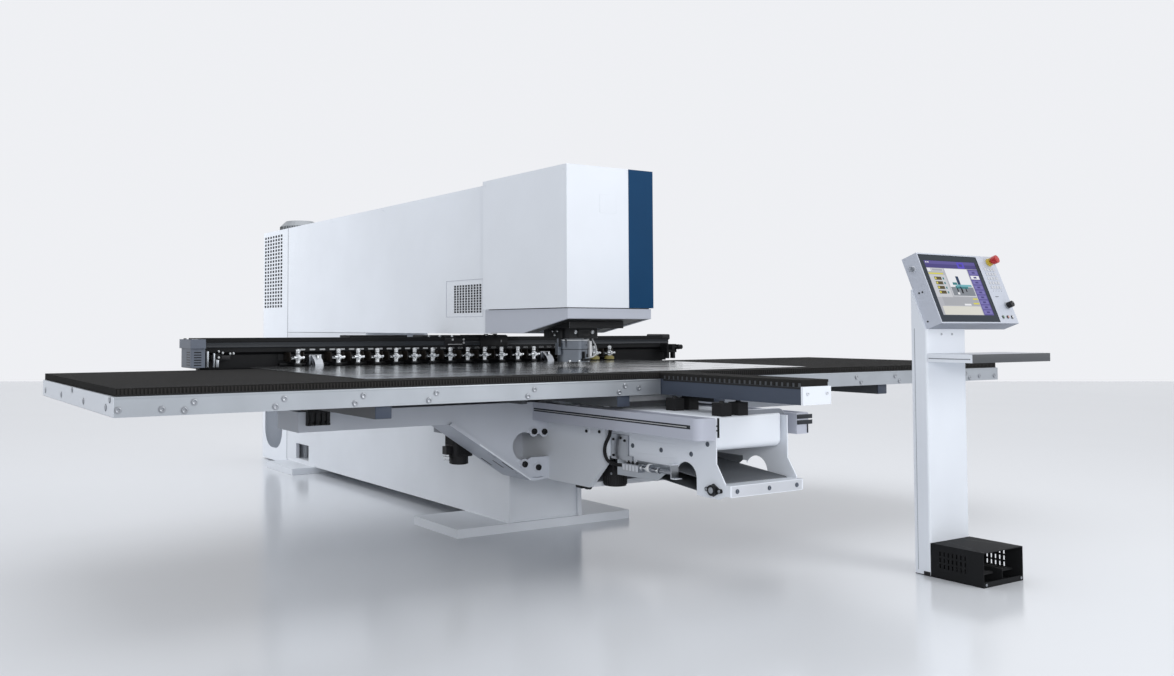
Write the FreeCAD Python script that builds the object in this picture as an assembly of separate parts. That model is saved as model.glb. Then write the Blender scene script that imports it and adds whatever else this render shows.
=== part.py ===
"""CNC punch press with a C frame, a moving brush table and a separate operator console.

All sizes are in millimetres. X runs along the table, Y away from the operator and Z up.
Places are drawn about the punch axis (X = Y = 0 at floor level). On writing, every solid
is moved so that the frame's origin lies at the centre of the front floor plate's underside.
"""

import FreeCAD
import Part
import math
import os

V = FreeCAD.Vector
X_AXIS, Y_AXIS, Z_AXIS = V(1, 0, 0), V(0, 1, 0), V(0, 0, 1)

# ---------------------------------------------------------------- driving dimensions
# Heights of the machine
SHEET_LINE = 862.0          # underside of the sheet
SHEET_THICKNESS = 2.0
TABLE_BOTTOM = 765.0
SKIRT_TOP = 834.0
ARM_CASING_BOTTOM = 1030.0
ARM_CASING_TOP = 1841.0

# Frame weldment
FRAME_HALF_WIDTH = 236.0
PLATE = 26.0
FOOT_THICKNESS = 46.0
FRONT_FOOT_Y = 451.0
FRONT_FOOT_LENGTH = 454.0
FRONT_FOOT_HALF_WIDTH = 560.0
REAR_FOOT_Y = 3038.0
REAR_FOOT_LENGTH = 520.0
REAR_FOOT_HALF_WIDTH = 416.0
BASE_FRONT = 237.0
BASE_REAR = 3339.0
LOWER_ARM_TOP = 745.0
LOWER_ARM_BOTTOM = 318.0
NOSE = -552.0
NOSE_CHAMFER_Y = -432.0
NOSE_CHAMFER_Z = 442.0
THROAT_BACK = 1950.0
UPPER_HALF_WIDTH = 170.0
UPPER_ARM_BOTTOM = 1062.0
UPPER_ARM_TOP = 1790.0
UPPER_ARM_FRONT = -200.0
NOTCH_Y = (2910.0, 3151.0)
NOTCH_Z = (75.0, 188.0)

# Casings
SHEET_METAL = 3.0
SEAM = 3.0
HEAD_HALF_WIDTH = 270.0
HEAD_FRONT = -313.0
HEAD_REAR = 440.0
HEAD_BOTTOM = 1161.0
HEAD_RISE = 13.0             # head above the arm casing
STRIPE_LEFT = 114.0
STRIPE_PROUD = 2.0
CHIN_HALF_WIDTH = 262.0
CHIN_GAP = 4.0
CHIN_REAR_BOTTOM = 1036.0
CHIN_LOW_Y = 70.0
CHIN_FRONT_BOTTOM = 1108.0
CHIN_WALL = 14.0
REAR_END = 3873.0
REAR_COVER_BOTTOM = 8.0
ARM_FLANGE = 40.0
VENT_COLUMNS, VENT_ROWS = 10, 11
VENT_PANEL_Y = (492.0, 891.0)
VENT_PANEL_Z = (1123.0, 1332.0)
VENT_Y = (521.0, 792.0)
VENT_Z = (1152.0, 1297.0)
REAR_VENT_COLUMNS, REAR_VENT_ROWS = 7, 21
REAR_VENT_Y = (3482.0, 3830.0)
REAR_VENT_Z = (1234.0, 1794.0)
WINDOW_Y = (3442.0, 3816.0)
WINDOW_Z = (107.0, 560.0)
WINDOW_RADIUS = 150.0
FAN_Y = 3680.0
FAN_GUARD_RADIUS = 160.0
FAN_GUARD_HEIGHT = 92.0
FAN_RADIUS = 132.0
FAN_STUB_RADIUS = 10.0
FAN_SIDES = 24

# Punching unit
RAM_RADIUS = 60.0
RAM_STROKE = 30.0
RAM_CYLINDER_RADIUS = 95.0
SHAFT_CLEARANCE = 0.05
FACE_GAP = 0.3
HOUSING_BOTTOM = 1008.0
HOUSING_HALF = 103.0
STRIPPER_RADIUS = 82.0
STRIPPER_BOTTOM = 889.0
STRIPPER_TOP = 1004.0
STRIPPER_STEP = 953.0
STRIPPER_STROKE = 24.0
STRIPPER_BORE = 62.0
ROD_X = 91.0
ROD_RADIUS = 7.0
PUNCH_RADIUS = 14.0
PUNCH_TIP_LIFT = 31.0       # punch tip above the sheet's top face
TOOL_RADIUS = 58.0
SHANK_RADIUS = 30.0
TURNTABLE_RADIUS = 66.0
DIE_HOLDER_RADIUS = 105.0
DIE_BORE = 14.4
HOSE_SIDES = 10

# Table
TABLE_HALF_LENGTH = 2475.0
TABLE_FRONT = -766.0
TABLE_REAR = 580.0
SKIRT_WALL = 8.0
DECK_INSET = 8.0
DECK_THICKNESS = 27.2
CENTRE_LEFT = -86.0
CENTRE_RIGHT = 74.0
WING_GAP = 4.0
EXTENSION_END = -1563.0
CENTRE_REAR = 112.0
OUTER_RAIL_X = 1470.0
INNER_RAIL_X = 290.0
RAIL_WIDTH = 70.0
RAIL_HEIGHT = 50.0
RAIL_FRONT = -745.0
GUIDE_BEAM_Y = (742.0, 950.0)
GUIDE_BEAM_TOP = 840.0
GUIDE_BEAM_HALF_LENGTH = 2400.0
X_RAIL_Y = (862.0, 892.0)
X_RAIL_HEIGHT = 11.0
RUNNER_X = (-900.0, -300.0, 300.0, 900.0)
RUNNER_LENGTH = 160.0
RUNNER_WALL = 20.0
RUNNER_CLEARANCE = 0.4

# Rack and pinion of the table drive
MODULE = 5.0
PINION_TEETH = 20
PINION_X = -560.0
PINION_Y = 210.0
PINION_BOTTOM = 722.0
PINION_HEIGHT = 28.0
PINION_SHAFT = 12.0
MOTOR_TOP = 600.0
TABLE_TRAVEL = 600.0
TOOTH_SHARE = 0.465         # tooth thickness as a share of the pitch at the pitch line

# X carriage
X_BEAM_LEFT, X_BEAM_RIGHT = -1700.0, 1390.0
X_BEAM_FRONT, X_BEAM_BACK = 800.0, 1020.0
X_BEAM_TOP = 1010.0
TOOL_PITCH = 114.0
FIRST_TOOL_X = -1218.0
TOOL_COUNT = 19
CLAMP_PLACES = (1, 14)      # magazine places that hold a clamp
SHEET_X = (-1496.0, 1004.0)
SHEET_Y = (-646.0, 744.0)

# Outriggers
OUTRIGGER_END = 1556.0
OUTRIGGER_TOP = 700.0
OUTRIGGER_BOTTOM = 612.0
OUTRIGGER_Y = (-110.0, 130.0)
HAUNCH_X = 806.0
HAUNCH_LOW_X = 348.0
FLANGE_LIP = 18.0
OUTRIGGER_PLATE = 12.0

# Part conveyor
CONVEYOR_HALF_WIDTH = 210.0
CONVEYOR_PLATE = 6.0
CONVEYOR_FRONT = -1272.0
LIP_Y = (-1302.0, -1292.0)
ROLLER_Y = -1213.0
ROLLER_Z = 407.0
REAR_ROLLER_Z = 458.0
ROLLER_RADIUS = 25.7
ROLLER_SHAFT = 9.0
REAR_ROLLER_Y = -700.0
CONVEYOR_EDGE = 476.0
COVER_GAP = 3.0
BELT_THICKNESS = 2.4
HOOD_TOP = 700.0
HOOD_FRONT = -1210.0
FLAP_Y = (-520.0, -150.0)
FLAP_THICKNESS = 12.0
FLAP_HINGE_Z = 822.0
FLAP_PIN_RADIUS = 5.0
FLAP_PIN_LENGTH = 5.0
BUFFER_SIZE = 56.0

# Console
CONSOLE_LEFT = 766.0
CONSOLE_FRONT = -1503.0
COLUMN_WIDTH = 277.0
COLUMN_DEPTH = 74.0
HOUSING_TILT = 21.06
HOUSING_WIDTH = 568.0
HOUSING_HEIGHT = 331.0
HOUSING_DEPTH = 77.0
HOUSING_FOOT = (778.0, -1568.0, 1083.0)
BEZEL_WIDTH = 430.0
TRAY_Z = (916.0, 951.0)
TRAY_FRONT = -1711.0
TRAY_RIGHT = 1336.0
PEDAL_FRONT = -1742.0
PEDAL_HEIGHT = 142.0

# ---------------------------------------------------------------- derived values
HEAD_TOP = ARM_CASING_TOP + HEAD_RISE
DECK_TOP = SHEET_LINE - 0.5
SHEET_TOP = SHEET_LINE + SHEET_THICKNESS
PLATE_INNER = FRAME_HALF_WIDTH - PLATE
WING_LEFT_END = CENTRE_LEFT - WING_GAP
WING_RIGHT_END = CENTRE_RIGHT + WING_GAP
PITCH = math.pi * MODULE
PITCH_RADIUS = MODULE * PINION_TEETH / 2.0
RACK_LINE_X = PINION_X - PITCH_RADIUS
PUNCH_TIP = SHEET_TOP + PUNCH_TIP_LIFT
RAIL_TOP = TABLE_BOTTOM
ROLLERS = ((ROLLER_Y, ROLLER_Z), (REAR_ROLLER_Y, REAR_ROLLER_Z))
FLAP_HINGE_Y = FLAP_Y[1] - 10.0
FLAP_REAR = FLAP_HINGE_Y - 6.0
X_BEAM_BOTTOM = GUIDE_BEAM_TOP + X_RAIL_HEIGHT + 4.0
LEDGE_Y = X_BEAM_FRONT + 30.0
RAIL_BOTTOM = RAIL_TOP - RAIL_HEIGHT


# ---------------------------------------------------------------- drawing helpers
def box(x, y, z):
    """Box from (low, high) pairs along X, Y and Z."""
    return Part.makeBox(x[1] - x[0], y[1] - y[0], z[1] - z[0], V(x[0], y[0], z[0]))


def rod(radius, start, end):
    """Cylinder between two points."""
    axis = V(*end) - V(*start)
    return Part.makeCylinder(radius, axis.Length, V(*start), axis)


def disc(radius, z, x=0.0, y=0.0):
    """Upright cylinder from z[0] to z[1]."""
    return Part.makeCylinder(radius, z[1] - z[0], V(x, y, z[0]))


def extrude(points, axis, low, high):
    """Polygon drawn in the plane across an axis, extruded from low to high along it."""
    place = {
        "x": lambda a, b: V(low, a, b),
        "y": lambda a, b: V(a, low, b),
        "z": lambda a, b: V(a, b, low),
    }[axis]
    corners = [place(a, b) for a, b in points]
    face = Part.Face(Part.makePolygon(corners + corners[:1]))
    direction = {"x": X_AXIS, "y": Y_AXIS, "z": Z_AXIS}[axis]
    return face.extrude(direction * (high - low))


def fuse(shapes):
    """One solid out of touching or overlapping ones."""
    return shapes[0].multiFuse(shapes[1:]).removeSplitter()


def cut(shape, tools):
    """Shape with all the tools taken out."""
    return shape.cut(Part.makeCompound(tools))


def group(shapes):
    """Separate solids kept in one node."""
    return Part.makeCompound(shapes)


def framed(x, y, z, hole, through):
    """Four strips round a rectangular hole; hole gives the pairs across the axis it goes through."""
    spans = {"x": x, "y": y, "z": z}
    first, second = [axis for axis in "xyz" if axis != through]
    (low, high), inner = hole
    strips = []
    for pairs in (
        {first: (spans[first][0], low)},
        {first: (high, spans[first][1])},
        {first: (low, high), second: (spans[second][0], inner[0])},
        {first: (low, high), second: (inner[1], spans[second][1])},
    ):
        strip = {**spans, **pairs}
        strips.append(box(strip["x"], strip["y"], strip["z"]))
    return strips


def frustum(sides, radii, z, x=0.0, y=0.0):
    """Upright many-sided body of flat faces, from one radius below to another above."""
    turns = [2 * math.pi * (i + 0.5) / sides for i in range(sides)]
    low, high = [[V(x + radius * math.cos(t), y + radius * math.sin(t), level) for t in turns]
                 for radius, level in zip(radii, z)]
    faces = [low, high]
    for i in range(sides):
        j = (i + 1) % sides
        faces.append([low[i], low[j], high[j], high[i]])
    return Part.makeSolid(Part.makeShell([Part.Face(Part.makePolygon(f + f[:1])) for f in faces]))


def prism(sides, radius, z, x=0.0, y=0.0):
    return frustum(sides, (radius, radius), z, x, y)


def mirror(shape):
    """The same shape on the other side of the machine's middle plane."""
    return shape.mirror(V(0, 0, 0), X_AXIS)


def both_sides(shape):
    return group([shape, mirror(shape)])


def upright_edges(shape, places, tolerance=1.0):
    """Edges along Z whose (x, y) is one of the places."""
    found = []
    for edge in shape.Edges:
        a, b = edge.Vertexes[0].Point, edge.Vertexes[-1].Point
        along_z = abs(a.x - b.x) < tolerance and abs(a.y - b.y) < tolerance
        near = any(abs(a.x - x) < tolerance and abs(a.y - y) < tolerance for x, y in places)
        if along_z and near and abs(a.z - b.z) > tolerance:
            found.append(edge)
    return found


def spread(low, high, count):
    """Evenly spaced values from low to high."""
    return [low + (high - low) * i / (count - 1) for i in range(count)]


# ---------------------------------------------------------------- frame weldment
def lower_side_plates(inner_face):
    """Outer plates of one side: nose and arm, base, and the rear column with the lifting notch."""
    x = (inner_face, inner_face + PLATE)
    arm = extrude([
        (NOSE_CHAMFER_Y, LOWER_ARM_BOTTOM), (THROAT_BACK, LOWER_ARM_BOTTOM), (THROAT_BACK, LOWER_ARM_TOP),
        (NOSE, LOWER_ARM_TOP), (NOSE, NOSE_CHAMFER_Z),
    ], "x", x[0], x[1])
    base = box(x, (BASE_FRONT, THROAT_BACK), (FOOT_THICKNESS, LOWER_ARM_BOTTOM))
    column = framed(x, (THROAT_BACK, BASE_REAR), (FOOT_THICKNESS, ARM_CASING_BOTTOM - SEAM),
                    (NOTCH_Y, NOTCH_Z), "x")
    return [arm, base] + column


def upper_side_plates(inner_face):
    """Inner plates of one side: the upper arm and, below it, the rear column over the notch."""
    x = (inner_face, inner_face + PLATE)
    front, back = THROAT_BACK + PLATE, BASE_REAR - PLATE
    floor = FOOT_THICKNESS + PLATE
    return [
        box(x, (UPPER_ARM_FRONT, back), (UPPER_ARM_BOTTOM, UPPER_ARM_TOP)),
        box(x, (front, NOTCH_Y[0]), (floor, UPPER_ARM_BOTTOM)),
        box(x, NOTCH_Y, (NOTCH_Z[1], UPPER_ARM_BOTTOM)),
        box(x, (NOTCH_Y[1], back), (floor, UPPER_ARM_BOTTOM)),
    ]


def c_frame():
    """C-frame weldment: flat plates that butt against each other, on two floor plates."""
    inner = (-PLATE_INNER, PLATE_INNER)
    upper = UPPER_HALF_WIDTH - PLATE
    upper_inner = (-upper, upper)
    sides = lower_side_plates(PLATE_INNER) + upper_side_plates(upper)
    arm_top = (LOWER_ARM_TOP - PLATE, LOWER_ARM_TOP)
    die_front = -DIE_HOLDER_RADIUS - 15
    chute = ((-CONVEYOR_HALF_WIDTH + 90, CONVEYOR_HALF_WIDTH - 90), (FLAP_Y[0] - 2, FLAP_Y[1] + 8))
    die_plate = box(inner, (die_front, THROAT_BACK), arm_top).cut(disc(DIE_HOLDER_RADIUS, (0, UPPER_ARM_BOTTOM)))
    upper_floor = box(upper_inner, (UPPER_ARM_FRONT, THROAT_BACK + PLATE),
                      (UPPER_ARM_BOTTOM, UPPER_ARM_BOTTOM + PLATE))
    web_back = BASE_FRONT + 34
    floor = (FOOT_THICKNESS, FOOT_THICKNESS + PLATE)
    back = BASE_REAR - PLATE
    upper_z = (UPPER_ARM_BOTTOM + PLATE, UPPER_ARM_TOP - PLATE)
    cross_plates = [
        die_plate,
        box(inner, (NOSE_CHAMFER_Y, BASE_FRONT + PLATE), (LOWER_ARM_BOTTOM, LOWER_ARM_BOTTOM + 22)),
        box(inner, (web_back, back), floor),
        box(inner, (BASE_FRONT + 14, web_back), (FOOT_THICKNESS, LOWER_ARM_BOTTOM)),
        box(inner, (THROAT_BACK, THROAT_BACK + PLATE), (floor[1], UPPER_ARM_BOTTOM)),
        box(inner, (back, BASE_REAR), (FOOT_THICKNESS, ARM_CASING_BOTTOM - SEAM)),
        upper_floor.cut(disc(RAM_CYLINDER_RADIUS, (0, UPPER_ARM_TOP))),
        box(upper_inner, (UPPER_ARM_FRONT, back), (upper_z[1], UPPER_ARM_TOP)),
        box(upper_inner, (UPPER_ARM_FRONT, UPPER_ARM_FRONT + PLATE), upper_z),
        box(upper_inner, (back - PLATE, back), (floor[1], upper_z[1])),
        floor_plate(FRONT_FOOT_HALF_WIDTH, FRONT_FOOT_Y, FRONT_FOOT_LENGTH),
        floor_plate(REAR_FOOT_HALF_WIDTH, REAR_FOOT_Y, REAR_FOOT_LENGTH),
    ]
    chute_plate = framed(inner, (NOSE, die_front), arm_top, chute, "z")
    return group(sides + [mirror(plate) for plate in sides] + cross_plates + chute_plate)


def floor_plate(half_width, y, length):
    return box((-half_width, half_width), (y - length / 2, y + length / 2), (0, FOOT_THICKNESS))


# ---------------------------------------------------------------- casings
def folded_box(x, y, z, open_sides):
    """Sheet-metal box; open_sides names the walls left out, such as '+y' or '-z'."""
    inside = [list(x), list(y), list(z)]
    for axis in range(3):
        for end, sign in ((0, "-"), (1, "+")):
            if sign + "xyz"[axis] in open_sides:
                inside[axis][end] += (-1 if end == 0 else 1) * SHEET_METAL
            else:
                inside[axis][end] += (1 if end == 0 else -1) * SHEET_METAL
    return box(x, y, z).cut(box(*inside))


def hole_field(x, y, z, columns, rows, width, height):
    """Rectangular punched holes in a side wall, spread over the field."""
    holes = []
    for row in spread(z[0], z[1], rows):
        for column in spread(y[0], y[1], columns):
            holes.append(box(x, (column - width / 2, column + width / 2),
                             (row - height / 2, row + height / 2)))
    return holes


def arm_cover():
    """Long casing of the upper arm: side panels with bottom flanges, a roof and a recessed vent field."""
    half = FRAME_HALF_WIDTH
    y = (HEAD_REAR - 30, BASE_REAR)
    z = (ARM_CASING_BOTTOM, ARM_CASING_TOP)
    inner = half - SHEET_METAL
    roof = box((-inner, inner), y, (z[1] - SHEET_METAL, z[1]))
    side = box((inner, half), y, z)
    flange = box((half - ARM_FLANGE, inner), (y[0], THROAT_BACK - 1), (z[0], z[0] + SHEET_METAL))
    rests = []
    for place in (HEAD_REAR + 60, BASE_REAR - 350):
        rests.append(box((UPPER_HALF_WIDTH, inner), (place, place + 30), (UPPER_ARM_TOP - 40, z[1] - SHEET_METAL)))
    right = [side, flange] + rests
    recess = box((-half - 1, -half + 1), VENT_PANEL_Y, VENT_PANEL_Z)
    through = (-half - 1, -half + SHEET_METAL + 1)
    holes = hole_field(through, VENT_Y, VENT_Z, VENT_COLUMNS, VENT_ROWS, 16, 7.5)
    left = [mirror(piece) for piece in right]
    left[0] = cut(left[0], [recess] + holes)
    return group([roof] + right + left)


def head_cover():
    """Casing of the punching head: four panels with a return flange round the foot."""
    half = HEAD_HALF_WIDTH
    inner = half - SHEET_METAL
    y = (HEAD_FRONT, HEAD_REAR)
    z = (HEAD_BOTTOM, HEAD_TOP)
    lip = 24.0
    foot = (z[0], z[0] + SHEET_METAL)
    behind_front = y[0] + SHEET_METAL
    under_roof = z[1] - SHEET_METAL
    side = box((inner, half), y, z)
    flange = box((half - lip, inner), (behind_front, y[1]), foot)
    rear_edge = box((FRAME_HALF_WIDTH, inner), (y[1] - SHEET_METAL, y[1]), (foot[1], under_roof))
    right = [side, flange, rear_edge]
    for place in (UPPER_ARM_FRONT + 60, HEAD_REAR - 120):
        right.append(box((UPPER_HALF_WIDTH, inner), (place, place + 40), (UPPER_ARM_TOP - 66, UPPER_ARM_TOP - 26)))
    middle = [
        box((-inner, inner), y, (under_roof, z[1])),
        box((-inner, inner), (y[0], behind_front), (z[0], under_roof)),
        box((-half + lip, half - lip), (behind_front, y[0] + lip), foot),
        box((-FRAME_HALF_WIDTH, FRAME_HALF_WIDTH), (y[1] - SHEET_METAL, y[1]), (ARM_CASING_TOP, under_roof)),
    ]
    return group(right + [mirror(piece) for piece in right] + middle)


def stripe_panel():
    """Blue panel that covers the right part of the head's front and folds round its corner."""
    outer_x = HEAD_HALF_WIDTH + STRIPE_PROUD
    outer_y = HEAD_FRONT - STRIPE_PROUD
    z = (HEAD_BOTTOM, HEAD_TOP)
    front = box((STRIPE_LEFT, outer_x), (outer_y, HEAD_FRONT), z)
    side = box((HEAD_HALF_WIDTH, outer_x), (outer_y, HEAD_FRONT + 150), z)
    return fuse([front, side])


def head_chin():
    """Sloped skirt under the head: two side walls and a front lip, open below."""
    top = HEAD_BOTTOM - CHIN_GAP
    side = [
        (HEAD_FRONT + 6, top),
        (HEAD_REAR - 12, top),
        (HEAD_REAR - 12, CHIN_REAR_BOTTOM),
        (CHIN_LOW_Y, CHIN_REAR_BOTTOM),
        (HEAD_FRONT + 6, CHIN_FRONT_BOTTOM),
    ]
    body = extrude(side, "x", -CHIN_HALF_WIDTH, CHIN_HALF_WIDTH)
    inner = CHIN_HALF_WIDTH - CHIN_WALL
    hollow = box((-inner, inner), (HEAD_FRONT + 6 + CHIN_WALL, HEAD_REAR + 1), (0, HEAD_TOP))
    body = body.cut(hollow)
    collar = box((-CHIN_HALF_WIDTH + 8, CHIN_HALF_WIDTH - 8), (HEAD_FRONT + 14, HEAD_REAR - 30), (top, HEAD_BOTTOM))
    collar = collar.cut(hollow)
    hanger = box((UPPER_HALF_WIDTH, inner), (CHIN_LOW_Y, CHIN_LOW_Y + 60), (top - 40, top - 30))
    return fuse([body, collar, hanger, mirror(hanger)])


def rear_cover():
    """Rear casing from the floor to the top, with vent field, lifting windows and fan hole."""
    half = FRAME_HALF_WIDTH
    front = BASE_REAR + SEAM
    cover = folded_box((-half, half), (front, REAR_END), (REAR_COVER_BOTTOM, ARM_CASING_TOP), ("-y",))
    through = (-half - 1, -half + SHEET_METAL + 1)
    window = box((-half - 1, half + 1), WINDOW_Y, WINDOW_Z)
    corners = [e for e in window.Edges if abs(e.Vertexes[0].X - e.Vertexes[-1].X) > 1]
    window = window.makeFillet(WINDOW_RADIUS, corners)
    fan_hole = disc(FAN_GUARD_RADIUS - 14, (ARM_CASING_TOP - 10, ARM_CASING_TOP + 10), 0, FAN_Y)
    holes = hole_field(through, REAR_VENT_Y, REAR_VENT_Z, REAR_VENT_COLUMNS, REAR_VENT_ROWS, 30, 13)
    cover = cut(cover, [window, fan_hole] + holes)
    edge = box((half - 30, half), (front, front + SHEET_METAL), (REAR_COVER_BOTTOM, ARM_CASING_TOP))
    parts = [edge, mirror(edge)]
    for z in (200.0, 880.0):
        tab = box((half - PLATE, half - SHEET_METAL), (BASE_REAR, front + 1), (z, z + 60))
        parts += [tab, mirror(tab)]
    parts.append(box((-180, 180), (REAR_END - 60, REAR_END - 10), (0, REAR_COVER_BOTTOM + 1)))
    return fuse([cover] + parts)


def fan_guard():
    """Low guard over the exhaust fan: a rim, a tapered shoulder, two rings and spokes round a stub."""
    low, high = ARM_CASING_TOP, ARM_CASING_TOP + FAN_GUARD_HEIGHT
    step = low + 50
    outer, top, wall = FAN_GUARD_RADIUS, FAN_GUARD_RADIUS - 45, 6

    def ring(radius, z):
        return prism(FAN_SIDES, radius, z, 0, FAN_Y)

    def taper(shrink):
        return frustum(FAN_SIDES, (outer - shrink, top - shrink), (step, high), 0, FAN_Y)

    rim = ring(outer, (low, step)).cut(ring(outer - wall, (low - 1, step + 1)))
    shoulder = taper(0).cut(taper(wall))
    rings = [ring(r + 3, (high - 5, high)).cut(ring(r - 3, (high - 6, high + 1))) for r in (40.0, 78.0)]
    spokes = []
    for turn in range(4):
        bar = box((-top + 1, top - 1), (FAN_Y - 4, FAN_Y + 4), (high - 5, high))
        bar.rotate(V(0, FAN_Y, 0), Z_AXIS, 45 * turn)
        spokes.append(bar)
    stub = disc(FAN_STUB_RADIUS, (low + 38, high), 0, FAN_Y)
    return fuse([rim, shoulder] + rings + spokes + [stub])


def fan_rotor():
    """Four-blade rotor that hangs on the guard's stub shaft."""
    low = ARM_CASING_TOP + 12
    hub = disc(26, (low, low + 50), 0, FAN_Y)
    blades = []
    for turn in range(4):
        blade = box((24, FAN_RADIUS), (FAN_Y - 30, FAN_Y + 30), (low + 20, low + 23))
        blade.rotate(V(0, FAN_Y, low + 21), X_AXIS, 24)
        blade.rotate(V(0, FAN_Y, 0), Z_AXIS, 90 * turn)
        blades.append(blade)
    bore = disc(FAN_STUB_RADIUS + SHAFT_CLEARANCE, (low - 20, low + 80), 0, FAN_Y)
    return fuse([hub] + blades).cut(bore)


# ---------------------------------------------------------------- punching unit
def ram_cylinder():
    """Cylinder that drives the ram, flanged to the upper arm's floor."""
    seat = UPPER_ARM_BOTTOM + PLATE
    body = disc(RAM_CYLINDER_RADIUS, (UPPER_ARM_BOTTOM, 1560))
    flange = disc(130, (seat, seat + 22))
    cap = disc(RAM_CYLINDER_RADIUS + 12, (1560, 1600))
    bore = disc(RAM_RADIUS + SHAFT_CLEARANCE, (0, 1545))
    return fuse([body, flange, cap]).cut(bore)


def ram():
    """Ram with a bore for the tool holder's shank."""
    low = HOUSING_BOTTOM + 12 + FACE_GAP
    body = disc(RAM_RADIUS, (low, 1500))
    return body.cut(disc(SHANK_RADIUS + SHAFT_CLEARANCE, (low - 1, low + 90)))


def punch_housing():
    """Block under the upper arm that guides the ram and the hold-down's rods."""
    half = HOUSING_HALF
    block = box((-half, half), (-90, 110), (HOUSING_BOTTOM, UPPER_ARM_BOTTOM))
    block = block.makeChamfer(14, upright_edges(block, [(-half, -90), (half, -90)]))
    holes = [disc(RAM_RADIUS + SHAFT_CLEARANCE, (0, 2000))]
    for x in (-ROD_X, ROD_X):
        holes.append(disc(ROD_RADIUS + SHAFT_CLEARANCE, (0, 2000), x))
    side = box((half, half + 30), (-30, 60), (HOUSING_BOTTOM + 14, UPPER_ARM_BOTTOM))
    block = fuse([block, side])
    return cut(block, holes)


def upper_tool_holder():
    """Turning holder under the ram, with the punch in it."""
    low = PUNCH_TIP + RAM_STROKE + 6
    top = HOUSING_BOTTOM + 12
    body = disc(TOOL_RADIUS, (low, top))
    shank = disc(SHANK_RADIUS, (top, top + 80))
    punch = disc(PUNCH_RADIUS, (PUNCH_TIP, low + 1))
    collar = Part.makeCone(PUNCH_RADIUS, TOOL_RADIUS - 20, 4, V(0, 0, low - 4))
    return fuse([body, shank, punch, collar])


def stripper():
    """Hold-down ring round the punch, carried by two guide rods."""
    step = STRIPPER_STEP
    ring = fuse([disc(STRIPPER_RADIUS, (step, STRIPPER_TOP)), disc(STRIPPER_RADIUS - 3, (STRIPPER_BOTTOM, step))])
    bore = disc(STRIPPER_BORE, (STRIPPER_BOTTOM + 8, STRIPPER_TOP + 1))
    mouth = disc(PUNCH_RADIUS + 6, (STRIPPER_BOTTOM - 1, STRIPPER_TOP))
    ear = box((STRIPPER_BORE + 4, ROD_X + 12), (-11, 11), (925, 985))
    guide = disc(ROD_RADIUS, (940, UPPER_ARM_BOTTOM - 12), ROD_X)
    body = fuse([ring, ear, mirror(ear)])
    body = cut(body, [bore, mouth])
    mark = box((12, 34), (-STRIPPER_RADIUS - 1, -STRIPPER_RADIUS + 12), (972, 978))
    clip = box((6, 22), (-STRIPPER_RADIUS - 8, -STRIPPER_RADIUS + 8), (897, 940))
    return fuse([body.cut(mark), clip, guide, mirror(guide)])


def die_holder():
    """Fixed seat of the lower tool in the lower arm."""
    top = TABLE_BOTTOM - 5
    body = disc(DIE_HOLDER_RADIUS, (600, top))
    flange = disc(DIE_HOLDER_RADIUS + 12, (LOWER_ARM_TOP, top))
    bore = disc(45 + SHAFT_CLEARANCE, (0, 1000))
    return fuse([body, flange]).cut(bore)


def lower_tool_holder():
    """Turning holder below the sheet, with the die in its top."""
    low = TABLE_BOTTOM - 5 + FACE_GAP
    body = disc(TURNTABLE_RADIUS, (low, DECK_TOP))
    spigot = disc(45, (680, low))
    holder = fuse([body, spigot])
    return cut(holder, [disc(DIE_BORE, (0, 1000)), disc(26, (0, DECK_TOP - 20))])


def bend(points, thickness):
    """Faceted hose along straight runs joined by tangent arcs, as large as the runs allow."""
    corners = [V(*p) for p in points]
    edges, radii = [], []
    start = corners[0]
    for before, corner, after in zip(corners, corners[1:], corners[2:]):
        come, leave = corner - before, after - corner
        reach = 0.45 * min(come.Length, leave.Length)
        come.normalize()
        leave.normalize()
        half_turn = come.getAngle(leave) / 2
        radius = reach / math.tan(half_turn)
        radii.append(round(radius, 1))
        first, last = corner - come * reach, corner + leave * reach
        inward = (leave - come).normalize()
        middle = corner + inward * (radius / math.cos(half_turn) - radius)
        edges.append(Part.LineSegment(start, first).toShape())
        edges.append(Part.Arc(first, middle, last).toShape())
        start = last
    edges.append(Part.LineSegment(start, corners[-1]).toShape())
    print("hose bend radii", radii)
    centre, axis = corners[0], corners[1] - corners[0]
    across = axis.cross(X_AXIS).normalize() * (thickness / 2)
    ring = [centre + FreeCAD.Rotation(axis, 360.0 * i / HOSE_SIDES).multVec(across) for i in range(HOSE_SIDES)]
    outline = Part.makePolygon(ring + ring[:1])
    return Part.Wire(edges).makePipeShell([outline], True, False)


def hoses():
    """Two air hoses beside the punch housing and the cable loop on the lower arm's nose."""
    top = HOUSING_BOTTOM + 14
    first = [(118, -10, top), (118, -10, top - 24), (124, -20, top - 48), (122, -32, top - 72),
             (112, -42, top - 92), (92, -43, top - 108), (70.5, -38.6, top - 114)]
    second = [(110, 12, top), (110, 12, top - 26), (114, -4, top - 50), (112, -14, top - 74),
              (100, -20, top - 95), (78.2, -20, top - 106)]
    cable = [(-246, -604, 611.9), (-246, -604, 576), (-245, -582, 538), (-244, -575, 496),
             (-243, -590, 462), (-240, -630, 450), (-238, -664, 449), (-238, -691.8, 449)]
    return group([bend(first, 3.4), bend(second, 3.4), bend(cable, 9)])


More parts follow.
